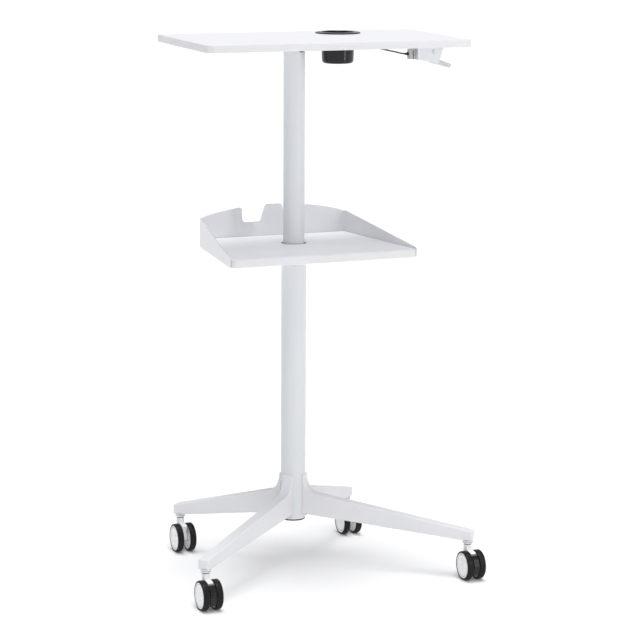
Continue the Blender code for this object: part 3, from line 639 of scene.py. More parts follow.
def make_cup_holder():
    """A flanged cup with a drafted body, a rolled lip and rings moulded in its floor."""
    rim, floor = cup_high.z, cup_low.z
    seat = worktop_high.z + GAP
    flange_r = (cup_high.x - cup_low.x) / 2
    inner_top, inner_foot = CUP_BODY_R - 2.5 * MM, CUP_FOOT_R - 2.5 * MM
    ridge, groove = floor + 3.4 * MM, floor + 2.8 * MM
    profile = [(0, ridge), (6 * MM, ridge), (6.6 * MM, groove)]
    for radius in (14 * MM, 23 * MM):
        profile += [(radius, groove), (radius + 0.6 * MM, ridge)]
        profile += [(radius + 2 * MM, ridge), (radius + 2.6 * MM, groove)]
    profile += arc((inner_foot - 5 * MM, floor + 7.8 * MM), 5 * MM, -90, 0, 8)
    profile += [(inner_top, rim - 3.2 * MM)]
    profile += arc((inner_top + 2 * MM, rim - 2 * MM), 2 * MM, 180, 90, 6)
    profile += [(flange_r - 6 * MM, rim), (flange_r - 2.2 * MM, rim - 0.7 * MM)]
    profile += arc((flange_r - 1.1 * MM, seat + 1.1 * MM), 1.1 * MM, 50, -90, 6)
    profile += [(CUP_BODY_R + 0.3 * MM, seat), (CUP_BODY_R, seat - 0.3 * MM)]
    profile += [(CUP_BODY_R - 0.2 * MM, UNDERSIDE - 1 * MM), (CUP_FOOT_R + 0.1 * MM, floor + 8 * MM)]
    profile += arc((CUP_FOOT_R - 7 * MM, floor + 7 * MM), 7 * MM, 0, -90, 8)
    profile += [(22 * MM, floor), (21.4 * MM, floor + 0.6 * MM), (0, floor + 0.6 * MM)]
    place = TOP @ at(CUP.x, CUP.y, 0)
    cup = lathed("cup_holder_moulding", profile, 120)
    mount(cup, GLOSS_BLACK, "top", place, ["cup_holder"])


def make_top_plate():
    """The steel plate under the worktop, its four screws and the weld that joins it to the tube."""
    low, high = local_box("top_plate", TOP)
    section = edge_section(low.z, high.z, 0.6 * MM, 0, 3)
    plate = slabbed("top_plate_steel", rectangle(low, high), [12 * MM] * 4, section)
    mount(plate, POWDER, "top", TOP, ["top_plate"])
    for number in range(1, 5):
        node = "top_screw_%d" % number
        spot = middle(node)
        screw_low, screw_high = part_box(node)
        shank = screw_high.z - low.z - 0.4 * MM
        place = at(spot.x, spot.y, low.z - GAP) @ about("X", pi)
        head = low.z - GAP - screw_low.z
        made = new_object("plate_screw_%d" % number,
                          lambda bm: screw(bm, ORIGIN, 4.5 * MM, head, 2.4 * MM, shank))
        mount(made, STEEL, "top", place, [node])
    bead = new_object("upper_tube_weld",
                      lambda bm: weld(bm, UPPER_R + 0.4 * MM, low.z - 0.9 * MM, 1.7 * MM, 34))
    mount(bead, PAINTED_SHADE_POWDER, "top", TOP)


# ---- release lever and its cable
lever_low, lever_high = local_box("release_lever", TOP)
pin_low, pin_high = local_box("lever_pin", TOP)
LEVER_Y = (lever_low.y + lever_high.y) / 2
LEVER_X = (pin_low.x + pin_high.x) / 2
LEVER_Z = (pin_low.z + pin_high.z) / 2
CABLE_R = 1.6 * MM
CABLE_START_Z = UNDERSIDE - 18 * MM
WINDOW_TURN = radians(23)  # the cable leaves the tube this far right of the front
stop_low, stop_high = local_box("cable_stop", TOP)
STOP_Z = (stop_low.z + stop_high.z) / 2


def make_bracket():
    """A folded U-shaped bracket: a web under the worktop and two cheeks that hold the pin."""
    low, high = local_box("lever_bracket", TOP)
    half, sheet = (high.y - low.y) / 2, 2 * MM
    foot_z = low.z
    side = [(low.x, high.z), (low.x, foot_z + 8 * MM), (high.x - 12 * MM, foot_z)]
    side += [(high.x - 9 * MM, foot_z + 4 * MM), (high.x, high.z)]
    side = rounded(side, mm(0, 3, 5, 4, 0), 6)
    bracket = extruded("lever_bracket_steel", side, half, (1.0 * MM, 3))
    left, right = (low.x + high.x) / 2 - 0.05, (low.x + high.x) / 2 + 0.05
    bottom, top = foot_z - 0.02, high.z - sheet
    hollow = [(left, bottom), (right, bottom), (right, top), (left, top)]
    combine(bracket, extruded("hollow", hollow, half - sheet, None))
    place = TOP @ at(0, (low.y + high.y) / 2, 0)
    mount(bracket, PAINTED_SHADE_POWDER, "top", place, ["lever_bracket"])

    pin = [(0, 19), (2.5, 19), (2.5, -17.3), (4, -17.3), (4, -19), (0, -19)]
    pin = rounded([mm(*point) for point in pin], mm(0, 0.4, 0, 0.2, 0.7, 0), 4, False)

    def build_pin(bm):
        lathe(bm, pin, 40)
        lathe(bm, wall(3.9 * MM, 2.5 * MM, 17.1 * MM, 17.9 * MM, 0.2 * MM), 40, closed=True)

    rivet = new_object("lever_pin_and_clip", build_pin)
    place = TOP @ at(LEVER_X, LEVER_Y, LEVER_Z) @ about("X", -pi / 2)
    mount(rivet, SATIN_STEEL, "top", place, ["lever_pin"])


def make_lever():
    """The hand lever: a boss on the pin, a rounded heel and a slim paddle with a full tip."""
    x, z = LEVER_X, LEVER_Z
    tip_r = 3.6 * MM
    tip_x, tip_z = x + 42 * MM, z - 31.5 * MM
    side = arc((x, z), 6.5 * MM, 0, 180, 16)
    side += [(x - 6.5 * MM, z - 12 * MM)]
    side += arc((x + 2 * MM, z - 18 * MM), 8.5 * MM, 190, 255, 10)
    side += arc((tip_x - tip_r, tip_z), tip_r, -105, 75, 12)
    side += rounded([(tip_x - tip_r, tip_z + tip_r), (x + 14 * MM, z - 18.5 * MM),
                     (x + 7.5 * MM, z - 15 * MM), (x + 6.5 * MM, z)], 4 * MM, 6, False)[1:-1]
    centred = [(px - x, pz - z) for px, pz in side]
    half = (lever_high.y - lever_low.y) / 2
    lever = extruded("release_lever_casting", centred, half, (2.2 * MM, 5))
    place = TOP @ at(x, LEVER_Y, z)
    mount(lever, PAINTED_SHADE_POWDER, "release_lever", place, ["release_lever"])

    start, end = Vector((17 * MM, -24 * MM)), Vector((38 * MM, -31 * MM))
    heading = degrees(atan2((end - start).y, (end - start).x))
    sleeve = arc(start, 5 * MM, heading + 90, heading + 270, 12)
    sleeve += arc(end, 4.6 * MM, heading - 90, heading + 90, 12)
    grip = extruded("lever_grip", sleeve, half + 0.8 * MM, (2.4 * MM, 5))
    mount(grip, GRIP, "release_lever", place)


def out_of_window(distance):
    """A point straight out of the tube's window, this far from the column's axis."""
    return Vector((distance * sin(WINDOW_TURN), -distance * cos(WINDOW_TURN), CABLE_START_Z))


def smooth_route(knots, spacing):
    """Points about every spacing along a Catmull-Rom curve through the knots."""
    ends = [knots[0] * 2 - knots[1]] + knots + [knots[-1] * 2 - knots[-2]]
    dense = []
    for a, b, c, d in zip(ends, ends[1:], ends[2:], ends[3:]):
        for step in range(40):
            t = step / 40
            dense.append(0.5 * (2 * b + (c - a) * t + (2 * a - 5 * b + 4 * c - d) * t * t
                                + (3 * b - a - 3 * c + d) * t ** 3))
    dense.append(knots[-1])
    points, travelled = [dense[0]], 0.0
    for before, after in zip(dense, dense[1:]):
        travelled += (after - before).length
        if travelled >= spacing:
            points.append(after)
            travelled = 0.0
    points[-1] = dense[-1]
    return points


def make_cable():
    """The Bowden cable from the column's window to its stop, with the clip that holds it up."""
    clip_low, clip_high = local_box("cable_clip", TOP)
    clip = Vector(((clip_low.x + clip_high.x) / 2, (clip_low.y + clip_high.y) / 2,
                   UNDERSIDE - 4.2 * MM))
    before_clip = Vector((0.0488, -0.0938, UNDERSIDE - 10.5 * MM))
    after_clip = Vector((0.1171, -0.2012, UNDERSIDE - 5.5 * MM))
    knots = [out_of_window(9 * MM), out_of_window(24 * MM), out_of_window(40 * MM)]
    knots += [before_clip, clip, after_clip, Vector((0.1390, -0.2325, UNDERSIDE - 9.8 * MM)),
              Vector((0.1546, -0.2452, UNDERSIDE - 13.6 * MM))]
    knots += [Vector((stop_low.x + reach, LEVER_Y, STOP_Z)) for reach in (-4 * MM, 0, 7 * MM)]
    route = smooth_route(knots, 2.5 * MM)
    sheath_piece = new_object("release_cable_sheath",
                              lambda bm: sweep(bm, route, [CABLE_R] * len(route), 18))
    mount(sheath_piece, CABLE, "top", TOP, ["release_cable"])

    def ferrule(bm):
        place = at(stop_low.x, LEVER_Y, STOP_Z) @ about("Y", -pi / 2)
        section = [(CABLE_R + 0.2 * MM, 0.2 * MM), (3.6 * MM, 0.2 * MM), (3.6 * MM, 3 * MM),
                   (2.6 * MM, 4.2 * MM), (2.6 * MM, 8 * MM), (CABLE_R + 0.2 * MM, 8.6 * MM)]
        lathe(bm, rounded(section, 0.25 * MM, 3), 32, place, closed=True)

    mount(new_object("cable_ferrule", ferrule), BLACK, "top", TOP)

    section = edge_section(stop_low.z, stop_high.z, 1 * MM, 0, 4)
    stop = slabbed("cable_stop_moulding", rectangle(stop_low, stop_high), [3 * MM] * 4, section, (), 6)
    middle_x, half = (stop_low.x + stop_high.x) / 2, 1.6 * MM
    bottom, top = stop_low.z - 0.01, stop_high.z - 3 * MM
    left, right = middle_x - half, middle_x + half
    slot = [(left, bottom), (right, bottom), (right, top), (left, top)]
    combine(stop, extruded("slot", slot, 3 * MM, None, at(0, stop_low.y, 0)))
    mount(stop, GREY, "top", TOP, ["cable_stop"])

    along = after_clip - before_clip
    heading = atan2(along.y, along.x)
    size = Vector((10, 12, 8)) * MM
    low = Vector((-size.x / 2, -size.y / 2, 0))
    section = edge_section(0, size.z, 0.8 * MM, 0, 4)
    body = slabbed("cable_clip_moulding", rectangle(low, -low), [2 * MM] * 4, section, (), 6)
    across = at(0, 0, size.z - 3.9 * MM) @ about("Y", pi / 2)
    combine(body, lathed("bore", solid_rod(2.5 * MM, -0.02, 0.02), 32, across))
    place = TOP @ at(clip.x, clip.y, UNDERSIDE - GAP - size.z)
    mount(body, BLACK, "top", place @ about("Z", heading), ["cable_clip"])


# ---- telescoping column
def make_column():
    """Both tubes, the collar that guides them, and the slot that the cable leaves by."""
    skin = wall(LOWER_R, LOWER_R - LOWER_WALL, tube_low.z, tube_high.z)
    lower = lathed("lower_tube_steel", skin, 128, closed=True)
    mount(lower, PAINTED_SHADE_POWDER, "base", COLUMN, ["lower_tube"])

    bush_low, bush_high = local_box("guide_bush", COLUMN)
    collar = [(bush_high.x, bush_high.z), (bush_high.x, tube_high.z + GAP)]
    sleeve_r = LOWER_R - LOWER_WALL - GAP
    collar += [(sleeve_r, tube_high.z + GAP), (sleeve_r, bush_low.z)]
    collar += [(UPPER_R + 0.35 * MM, bush_low.z), (UPPER_R + 0.35 * MM, bush_high.z)]
    section = rounded(collar, mm(1.2, 0.3, 0, 0.5, 0.3, 0.8), 4)
    bush = lathed("guide_bush_moulding", section, 96, closed=True)
    mount(bush, BLACK, "base", COLUMN, ["guide_bush"])

    skin = wall(UPPER_R, UPPER_R - UPPER_WALL, upper_low.z, upper_high.z)
    upper = lathed("upper_tube_steel", skin, 128, closed=True)
    half_width, half_height = 7 * MM, 6.5 * MM
    window = [(-half_width, -half_height), (half_width, -half_height),
              (half_width, half_height), (-half_width, half_height)]
    place = about("Z", WINDOW_TURN) @ at(0, -20 * MM, CABLE_START_Z)
    combine(upper, extruded("window", rounded(window, 2.5 * MM, 6), 15 * MM, None, place))
    mount(upper, PAINTED_SHADE_POWDER, "top", TOP, ["upper_tube"])
    keep("tube_glide", BLACK)
    keep("release_head", DARK_STEEL)

    low, high = local_box("gas_spring_cylinder", COLUMN)
    bore, throat, lid = 12 * MM, 5.4 * MM, 8 * MM
    top = high.z - 0.4 * MM
    section = [(0, low.z + lid), (bore, low.z + lid), (bore, high.z - lid)]
    section += [(throat, high.z - lid), (throat, top)]
    section += [(high.x, top), (high.x, top - 5 * MM), (high.x - 0.8 * MM, top - 6 * MM)]
    section += [(high.x, top - 7 * MM), (high.x, low.z), (0, low.z)]
    radii = mm(0, 0, 0, 0, 0.4, 1.6, 0.4, 0.4, 0.4, 1, 0)
    cylinder = lathed("gas_cylinder", rounded(section, radii, 4, False))
    mount(cylinder, DARK_STEEL, "base", COLUMN, ["gas_spring_cylinder"])
    keep("gas_spring_rod", STEEL)
    keep("release_button", STEEL)


# ---- shelf
board_low, board_high = local_box("shelf_board", COLUMN)
gallery_low, gallery_high = local_box("shelf_gallery", COLUMN)
SHELF_FRONT = board_low.y
SHELF_REAR = gallery_high.y
SHELF_FRONT_HALF = 0.2215  # half the shelf's width over the gallery, at its front
SHELF_REAR_HALF = 0.179
SHELF_CORNER = 13 * MM
GALLERY_SHEET = 2 * MM
GALLERY_REAR_HEIGHT = 66 * MM
GALLERY_FRONT_HEIGHT = 21 * MM
GALLERY_ARCH = gallery_high.z - gallery_low.z - GALLERY_REAR_HEIGHT


def make_shelf():
    """The shelf board inside its gallery, and the welded plate that carries it."""
    edge = GALLERY_SHEET + GAP
    front, rear = SHELF_FRONT_HALF - edge, SHELF_REAR_HALF - edge
    corners = [(-front, SHELF_FRONT), (front, SHELF_FRONT), (rear, board_high.y), (-rear, board_high.y)]
    radii = [SHELF_CORNER, SHELF_CORNER, 5 * MM, 5 * MM]
    section = edge_section(board_low.z, board_high.z, 3 * MM, 0, 6)
    hole = ((0, 0), LOWER_R + GAP, 0.6 * MM)
    board = slabbed("shelf_board_laminate", corners, radii, section, [hole], 16)

    # The shelf board's upright sides get the edging's darker grey: painted shade.
    def upright(face):
        return abs(face.normal.z) < 0.7 and hypot(face.center.x, face.center.y) > 2 * LOWER_R

    # The shelf's top gets the lighter laminate: painted light.
    mount(board, SHELF_PAINTED_LIGHT_LAMINATE, "base", COLUMN, ["shelf_board"], (EDGE_BAND_PAINTED_SHADE, upright))

    low, high = local_box("shelf_plate", COLUMN)
    section = edge_section(low.z, high.z, 0.6 * MM, 0, 3)
    hole = ((0, 0), LOWER_R + GAP, 0.4 * MM)
    plate = slabbed("shelf_plate_steel", rectangle(low, high), [10 * MM] * 4, section, [hole])
    mount(plate, POWDER, "base", COLUMN, ["shelf_plate"])
    for number, (x, y) in enumerate(((-1, -1), (1, -1), (1, 1), (-1, 1)), 1):
        reach = high.x - 10 * MM
        place = COLUMN @ at(x * reach, y * reach, low.z) @ about("X", pi)
        made = new_object("shelf_screw_%d" % number,
                          lambda bm: screw(bm, ORIGIN, 4 * MM, 2.2 * MM, 2 * MM, 3 * MM))
        mount(made, STEEL, "base", place)
    bead = new_object("shelf_plate_weld",
                      lambda bm: weld(bm, LOWER_R + 0.3 * MM, low.z - 0.8 * MM, 1.6 * MM, 40))
    mount(bead, PAINTED_SHADE_POWDER, "base", COLUMN)


def gallery_half():
    """The right half of the gallery's flat blank, as (length along the sheet, height) points."""
    arch_r = (SHELF_REAR_HALF ** 2 + GALLERY_ARCH ** 2) / (2 * GALLERY_ARCH)

    def arch(x):
        return GALLERY_REAR_HEIGHT + GALLERY_ARCH - arch_r + sqrt(arch_r ** 2 - x ** 2)

    finger_top, finger_base, notch_out = 21 * MM, 31 * MM, 75 * MM
    notch_floor = GALLERY_REAR_HEIGHT - 15 * MM
    crest = arch(finger_top) - 6 * MM
    points = [(x * MM, arch(x * MM)) for x in (0, 4, 8, 12)]
    points += arc((finger_top - 5.5 * MM, crest), 6 * MM, 75, 12, 8)
    points += arc((finger_base + 5 * MM, notch_floor + 5 * MM), 5 * MM, 192, 270, 8)
    points += arc((notch_out - 7 * MM, notch_floor + 7 * MM), 7 * MM, 270, 348, 8)
    shoulder = arch(notch_out + 8 * MM) - 7 * MM
    points += arc((notch_out + 8 * MM, shoulder), 7 * MM, 168, 85, 10)
    points += [(x * MM, arch(x * MM)) for x in range(90, 165, 5)]
    return points


def make_gallery():
    """The sheet-steel gallery: its flat blank folded round the back and the two sides."""
    bend_r = 8 * MM
    rise = SHELF_REAR - SHELF_FRONT - SHELF_CORNER + 4 * MM
    run = (SHELF_FRONT_HALF - SHELF_REAR_HALF) * rise / (SHELF_REAR - SHELF_FRONT)
    turn = atan2(rise, run)
    flat = SHELF_REAR_HALF - bend_r * tan(turn / 2)
    bend = bend_r * turn
    total = flat + bend + hypot(run, rise) - bend_r * tan(turn / 2)

    def folded(s):
        """Plan point and outward normal at this distance along the sheet from its middle."""
        mirror = -1 if s < 0 else 1
        s = abs(s)
        a = min(max(s - flat, 0) / bend_r, turn)
        past = max(s - flat - bend, 0)
        x = min(s, flat) + bend_r * sin(a) + past * cos(turn)
        y = SHELF_REAR - bend_r * (1 - cos(a)) - past * sin(turn)
        return Vector((mirror * x, y, 0)), Vector((mirror * sin(a), cos(a), 0))

    half = gallery_half()
    half += [(flat, GALLERY_REAR_HEIGHT), (flat + bend, GALLERY_REAR_HEIGHT)]
    end = [(total, GALLERY_FRONT_HEIGHT), (total, 0)]
    end = rounded([half[-1]] + end + [(0, 0)], mm(0, 4, 1.5, 0), 8, closed=False)[1:-1]
    half += end
    blank = half + [(-s, height) for s, height in reversed(half[1:])]
    round_over = 0.7 * MM

    def build(bm):
        """Skins of the sheet from rim to rim: the rim is rounded over by insets of the blank."""
        clockwise = list(reversed(blank))
        levels = []
        for i in range(7):
            a = radians(90 * i / 6)
            levels.append((round_over * (1 - sin(a)), round_over * (1 - cos(a))))
        levels += [(inset, GALLERY_SHEET - depth) for inset, depth in reversed(levels)]
        loops = []
        for inset, depth in levels:
            skin = moved_in(clockwise, inset)
            loops.append([bm.verts.new((s, -depth, height)) for s, height in skin])
        bridge_run(bm, loops)
        for loop in (loops[0], loops[-1]):
            bm.faces.new(loop)
        folds = [flat + bend * i / 10 for i in range(11)]
        for s in folds + [-f for f in folds]:
            everything = bm.verts[:] + bm.edges[:] + bm.faces[:]
            bmesh.ops.bisect_plane(bm, geom=everything, dist=1e-6,
                                   plane_co=(s, 0, 0), plane_no=(1, 0, 0))
        bmesh.ops.triangulate(bm, faces=[f for f in bm.faces if len(f.verts) > 4])
        for vert in bm.verts:
            place, outward = folded(vert.co.x)
            vert.co = place + outward * vert.co.y + Vector((0, 0, gallery_low.z + vert.co.z))

    sheet = new_object("shelf_gallery_sheet", build)
    mount(sheet, POWDER, "base", COLUMN, ["shelf_gallery"])


# ---- base
ARM_ANGLE = radians(41.1)
ARM_HEADINGS = {"front_left": pi + ARM_ANGLE, "front_right": -ARM_ANGLE,
                "rear_left": pi - ARM_ANGLE, "rear_right": ARM_ANGLE}
ARM_WIDTH = 25 * MM
ARM_ROOT_BOTTOM = 0.114
ARM_ROOT_TOP = 0.162
ARM_END_TOP = 0.107


def make_arm(corner):
    """A tapered arm whose top sweeps up into the column's foot."""
    low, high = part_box("base_arm_" + corner)
    stem = STEMS[corner].translation - COLUMN.translation
    end = stem.length + ARM_WIDTH / 2
    root = LOWER_R - 2.7 * MM
    knee = LOWER_R + 15 * MM
    rise = high.z - ARM_ROOT_TOP
    side = [(root, ARM_ROOT_BOTTOM), (root, high.z), (LOWER_R + 1.5 * MM, high.z)]
    outer = knee + 14 * MM
    sweep_in = outer - LOWER_R - 1.5 * MM
    for i in range(1, 19):
        a = radians(90 * i / 18)
        side.append((outer - sweep_in * cos(a), high.z - rise * sin(a)))
    side += [(end, ARM_END_TOP), (end, low.z), (end - ARM_WIDTH - 2 * MM, low.z)]
    arm = extruded("arm_%s_casting" % corner, side, ARM_WIDTH / 2, (3.5 * MM, 7))
    place = COLUMN @ about("Z", ARM_HEADINGS[corner])
    mount(arm, ARM_PAINTED_SHADE_POWDER, "base", place, ["base_arm_" + corner])


def make_foot():
    """The plug that closes the column's foot, with its fixing screw."""
    low, high = local_box("column_foot_plug", COLUMN)
    sleeve_r = LOWER_R - LOWER_WALL - GAP
    profile = [(0, high.z), (sleeve_r, high.z), (sleeve_r, tube_low.z - GAP)]
    profile += [(high.x, tube_low.z - GAP), (high.x, low.z), (18 * MM, low.z)]
    profile += [(17 * MM, low.z + 0.8 * MM), (6 * MM, low.z + 0.8 * MM), (5 * MM, low.z), (0, low.z)]
    radii = mm(0, 0.4, 0.2, 0.3, 1.4) + [0.3 * MM] * 4 + [0]
    plug = lathed("foot_plug_moulding", rounded(profile, radii, 4, closed=False), 96)
    mount(plug, BLACK, "base", COLUMN, ["column_foot_plug"])
    screw_low, screw_high = local_box("foot_screw", COLUMN)
    seat = LOWER_R + 0.5 * MM
    place = COLUMN @ at(seat, 0, (screw_low.z + screw_high.z) / 2)
    head_r = (screw_high.z - screw_low.z) / 2
    fastener = new_object("foot_screw_knob", lambda bm: screw(
        bm, ORIGIN, head_r, screw_high.x - seat, 2.4 * MM, seat - screw_low.x))
    place = place @ about("Y", pi / 2)
    mount(fastener, DARK_STEEL, "base", place, ["foot_screw"])


# ---- casters
AXLE = (-TRAIL, WHEEL_R)  # across the stem's axes: y, z
HOOD_END = 113  # degrees round the axle, where the housing's hood ends
HOOD_R = 31 * MM  # outer side of the hood and of the brake pedal
PEDAL_TOP = 128  # degrees round the axle, the pedal's pivot
PEDAL_FOOT = 218
GAP_SHADE_HEIGHT = 1.5 * MM  # height of the black ring under the stem's ring: painted shade for the dark gap there
AXLE_BORE = 4.3 * MM


def make_stem(corner):
    """The plated stem and its grooved ring under the arm."""
    low, high = local_box("caster_stem_" + corner, STEMS[corner])
    arm_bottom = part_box("base_arm_" + corner)[0].z
    ring_r, stem_r = high.x, 5 * MM
    top, bottom = arm_bottom - GAP, arm_bottom - 8.3 * MM
    profile = [(0, high.z), (stem_r, high.z), (stem_r, top), (ring_r, top), (ring_r, top - 3 * MM)]
    profile += [(ring_r - 1.2 * MM, top - 3.6 * MM), (ring_r - 1.2 * MM, top - 4.4 * MM)]
    profile += [(ring_r, top - 5 * MM), (ring_r, bottom), (stem_r, bottom), (stem_r, low.z), (0, low.z)]
    radii = mm(0, 0.6, 0, 1.1, 0.5, 0.3, 0.3, 0.5, 1.0, 0, 0.5, 0)
    stem = lathed("stem_%s_ring" % corner, rounded(profile, radii, 4, False))
    mount(stem, STEEL, "base", STEMS[corner], ["caster_stem_" + corner])


def housing_outline():
    """The housing between the twin wheels: rear web, boss round the axle, and the hood in front."""
    neck_r = 9 * MM
    housing_high = local_box("caster_housing_front_left", STEMS["front_left"])[1].z
    shoulder = WHEEL_R * 2 + 0.5 * MM
    side = [(neck_r, housing_high - 5 * MM), (neck_r, shoulder - 9 * MM)]
    side += arc(AXLE, 11 * MM, -20, -205, 24)
    side += arc(AXLE, 18 * MM, HOOD_END, 90, 1)[:1]
    side += arc(AXLE, HOOD_R, HOOD_END, 95, 8)
    side += [(-neck_r, shoulder), (-neck_r, housing_high - 5 * MM)]
    return side, neck_r, shoulder - 1 * MM, housing_high


def make_housing(corner):
    """The white housing: a bevelled web under a round neck, and the ends of the axle."""
    side, neck_r, neck_low, neck_top = housing_outline()
    neck_high = neck_top - GAP_SHADE_HEIGHT
    low, high = local_box("brake_pedal_front_left", STEMS["front_left"])
    half = (high.x - low.x) / 2
    turned = about("Z", pi / 2)
    housing = extruded("housing_%s_moulding" % corner, side, half, (1.4 * MM, 4), turned)
    neck = solid_rod(neck_r, neck_low, neck_high)
    neck = rounded(neck, mm(0, 0.8, 1.2, 0), 5, closed=False)
    combine(housing, lathed("neck", neck), "UNION")
    stem_bore = solid_rod(5.3 * MM, neck_low + 4.5 * MM, 1)
    combine(housing, lathed("bore", stem_bore, 48))
    across = at(0, -TRAIL, WHEEL_R) @ about("Y", pi / 2)
    axle_bore = solid_rod(AXLE_BORE, -0.02, 0.02)
    combine(housing, lathed("bore", axle_bore, 48, across))
    body = "caster_" + corner
    mount(housing, WHITE, body, STEMS[corner], ["caster_housing_" + corner])
    # A black ring between the neck and the stem's ring: painted shade for the dark gap between them.
    gap_shade_ring = wall(neck_r - 0.9 * MM, 5.4 * MM, neck_high, neck_top, 0.2 * MM)
    mount(lathed("seal_%s" % corner, gap_shade_ring, 48, closed=True), BLACK, body, STEMS[corner])
    keep("caster_axle_" + corner, STEEL)


def make_wheel(corner, side):
    """One of the twin wheels: a dished disc with its groove near the rim painted grey as painted shade,
    and its tyre.
    """
    sign = SIDES[side]
    facing = about("Y", sign * pi / 2)
    axle = at(sign * WHEEL_OUT, -TRAIL, WHEEL_R) @ facing
    place = STEMS[corner] @ axle
    body = "wheel_%s_%s" % (corner, side)
    face = WHEEL_HALF - 0.5 * MM
    rim = DISC_R - 0.3 * MM
    # millimetres out from the axle or back from the rim, and in from the face
    hub = ((0, 1.4), (3.4, 1.4), (4.2, 2.0), (7.6, 2.2), (8.4, 2.9))
    dish = ((6.6, 2.6), (5.4, 0.9), (3.9, 0.5), (3.7, 1.1), (2.5, 1.1), (2.3, 0.5))
    profile = [(out * MM, face - depth * MM) for out, depth in hub]
    profile += [(rim - back * MM, face - depth * MM) for back, depth in dish]
    profile += [(rim, face), (DISC_R, face - 0.6 * MM), (DISC_R, -face), (rim - 3 * MM, -face)]
    profile += [(rim - 4.2 * MM, -face + 1.8 * MM), (11 * MM, -face + 1.8 * MM), (10 * MM, -face)]
    profile += [(AXLE_BORE, -face), (AXLE_BORE, face - 5 * MM), (0, face - 5 * MM)]
    softened = rounded(profile, [0] + [0.45 * MM] * (len(profile) - 2) + [0], 3, closed=False)
    disc = lathed("disc_%s_%s" % (corner, side), softened, 80)
    # The groove's floor is painted grey as painted shade.
    groove_shade_band = (rim - 3.75 * MM, rim - 2.45 * MM)

    def in_groove_shade(polygon):
        radius = hypot(polygon.center.x, polygon.center.y)
        return groove_shade_band[0] < radius < groove_shade_band[1] and polygon.center.z > 0

    mount(disc, WHITE, body, place, ["caster_wheel_%s_%s" % (corner, side)],
          (GROOVE_SHADE_GREY, in_groove_shade))

    inner, shoulder = DISC_R + 0.05 * MM, 3 * MM
    tread = [(inner, WHEEL_HALF - 0.8 * MM), (inner + 0.5 * MM, WHEEL_HALF - 0.1 * MM)]
    outer = arc((WHEEL_HALF - shoulder, WHEEL_R - shoulder), shoulder, 0, 90, 12)
    tread += [(r, w) for w, r in outer]
    for middle_w in (1.8 * MM, -1.8 * MM):
        tread += [(WHEEL_R, middle_w + 0.45 * MM), (WHEEL_R - 0.5 * MM, middle_w + 0.3 * MM)]
        tread += [(WHEEL_R - 0.5 * MM, middle_w - 0.3 * MM), (WHEEL_R, middle_w - 0.45 * MM)]
    tread += [(r, -w) for w, r in reversed(outer)]
    tread += [(inner + 0.5 * MM, 0.1 * MM - WHEEL_HALF), (inner, 0.8 * MM - WHEEL_HALF)]
    tyre = lathed("tyre_%s_%s" % (corner, side), tread, 96, facing, closed=True)
    place = place @ facing.inverted()
    mount(tyre, TREAD, body, place, ["caster_tyre_%s_%s" % (corner, side)])


def make_pedal(corner):
    """The black brake pedal: a crescent between the wheels, ribbed where the toe presses it."""
    end_r, tip_r = 5 * MM, 2.5 * MM
    pivot = arc(AXLE, HOOD_R - end_r, PEDAL_TOP, 0, 1)[0]
    tip = arc(AXLE, HOOD_R - tip_r, PEDAL_FOOT, 0, 1)[0]
    side = arc(pivot, end_r, PEDAL_TOP - 180, PEDAL_TOP, 20)
    steps = 60
    first_rib, last_rib, pitch = 142, 178, 6        # degrees round the axle
    for i in range(1, steps):
        turn = PEDAL_TOP + (PEDAL_FOOT - PEDAL_TOP) * i / steps
        ribbed = first_rib < turn < last_rib
        rib = 0.55 * MM * (0.5 - 0.5 * cos(2 * pi * (turn - first_rib) / pitch)) if ribbed else 0
        side += arc(AXLE, HOOD_R + rib, turn, 0, 1)[:1]
    side += arc(tip, tip_r, PEDAL_FOOT, PEDAL_FOOT + 180, 10)
    for i in range(1, 24):
        share = i / 24
        turn = PEDAL_FOOT + (PEDAL_TOP - PEDAL_FOOT) * share
        thick = 2 * (tip_r + (end_r - tip_r) * share)
        side += arc(AXLE, HOOD_R - thick, turn, 0, 1)[:1]
    low, high = local_box("brake_pedal_" + corner, STEMS[corner])
    half = (high.x - low.x) / 2
    turned = about("Z", pi / 2)
    pedal = extruded("pedal_%s_moulding" % corner, side, half, (0.9 * MM, 4), turned)
    mount(pedal, BLACK, "pedal_" + corner, STEMS[corner], ["brake_pedal_" + corner])


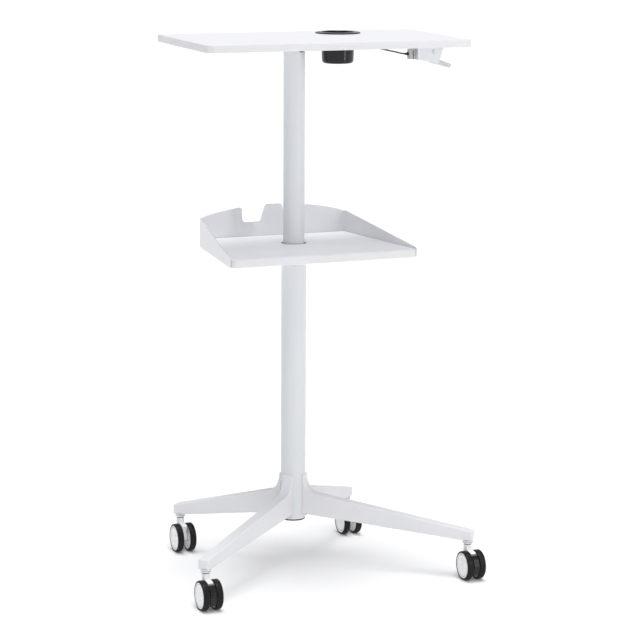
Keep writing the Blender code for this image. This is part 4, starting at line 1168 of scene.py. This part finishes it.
# ---- studio
def make_studio():
    """A plain pale floor, soft light from above and one soft box on the right."""
    floor_paint = Paint("pale_floor", (0.93, 0.93, 0.935), 0.9)
    floor_paint.mottle(floor_paint.mapped(floor_paint.noise(3, 2), 0, 1), (0.925, 0.925, 0.93))
    floor = new_object(
        "floor", lambda bm: bmesh.ops.create_grid(bm, x_segments=2, y_segments=2, size=60))
    floor.data.materials.append(floor_paint.material)

    world = bpy.data.worlds.new("studio")
    world.use_nodes = True
    sky = world.node_tree.nodes["Background"]
    dial(sky, Color=(0.985, 0.99, 1.0, 1), Strength=0.54)
    bpy.context.scene.world = world

    suns = (("overhead", 1.72, 28, 2, 0), ("front_high", 0.66, 40, 40, -14))
    for name, strength, angle, tilt, turn in suns:
        light = bpy.data.lights.new(name, "SUN")
        light.energy = strength
        light.angle = radians(angle)
        lamp = add(name, light)
        lamp.rotation_euler = (radians(tilt), 0, radians(turn))

    box = bpy.data.lights.new("soft_box", "AREA")
    box.shape = "RECTANGLE"
    box.size = 0.36
    box.size_y = 2.2
    box.energy = 18
    soft = add("soft_box", box)
    soft.location = (1.82, -2.93, 1.5)
    aim = Vector((0, 0, 0.8)) - soft.location
    soft.rotation_euler = aim.to_track_quat("-Z", "Y").to_euler()


def make_camera():
    """A long lens at a standing person's eye height, front left of the lectern."""
    yaw, pitch, roll = 0.39674, 0.18368, 0.00487        # radians, from straight ahead and level
    spot = (-2.06502, -5.08276, 1.57729)                # from the column's foot
    focal_length, sensor_width = 139.54, 36             # in millimetres
    forward = Vector((sin(yaw) * cos(pitch), cos(yaw) * cos(pitch), -sin(pitch)))
    right = Vector((cos(yaw), -sin(yaw), 0))
    up = right.cross(forward)
    tilted = cos(roll) * right + sin(roll) * up
    upright = cos(roll) * up - sin(roll) * right
    data = bpy.data.cameras.new("camera")
    data.lens = focal_length
    data.sensor_width = sensor_width
    camera = add("camera", data)
    turn = Matrix((tilted, upright, -forward)).transposed().to_4x4()
    camera.matrix_world = COLUMN @ at(*spot) @ turn
    bpy.context.scene.camera = camera
    bpy.context.scene.view_settings.view_transform = "Standard"


# ---- build
make_worktop()
make_cup_holder()
make_top_plate()
make_bracket()
make_lever()
make_cable()
make_column()
make_shelf()
make_gallery()
make_foot()
for corner in CORNERS:
    make_arm(corner)
    make_stem(corner)
    make_housing(corner)
    for side in SIDES:
        make_wheel(corner, side)
    if corner.startswith("front"):
        make_pedal(corner)
make_studio()
make_camera()
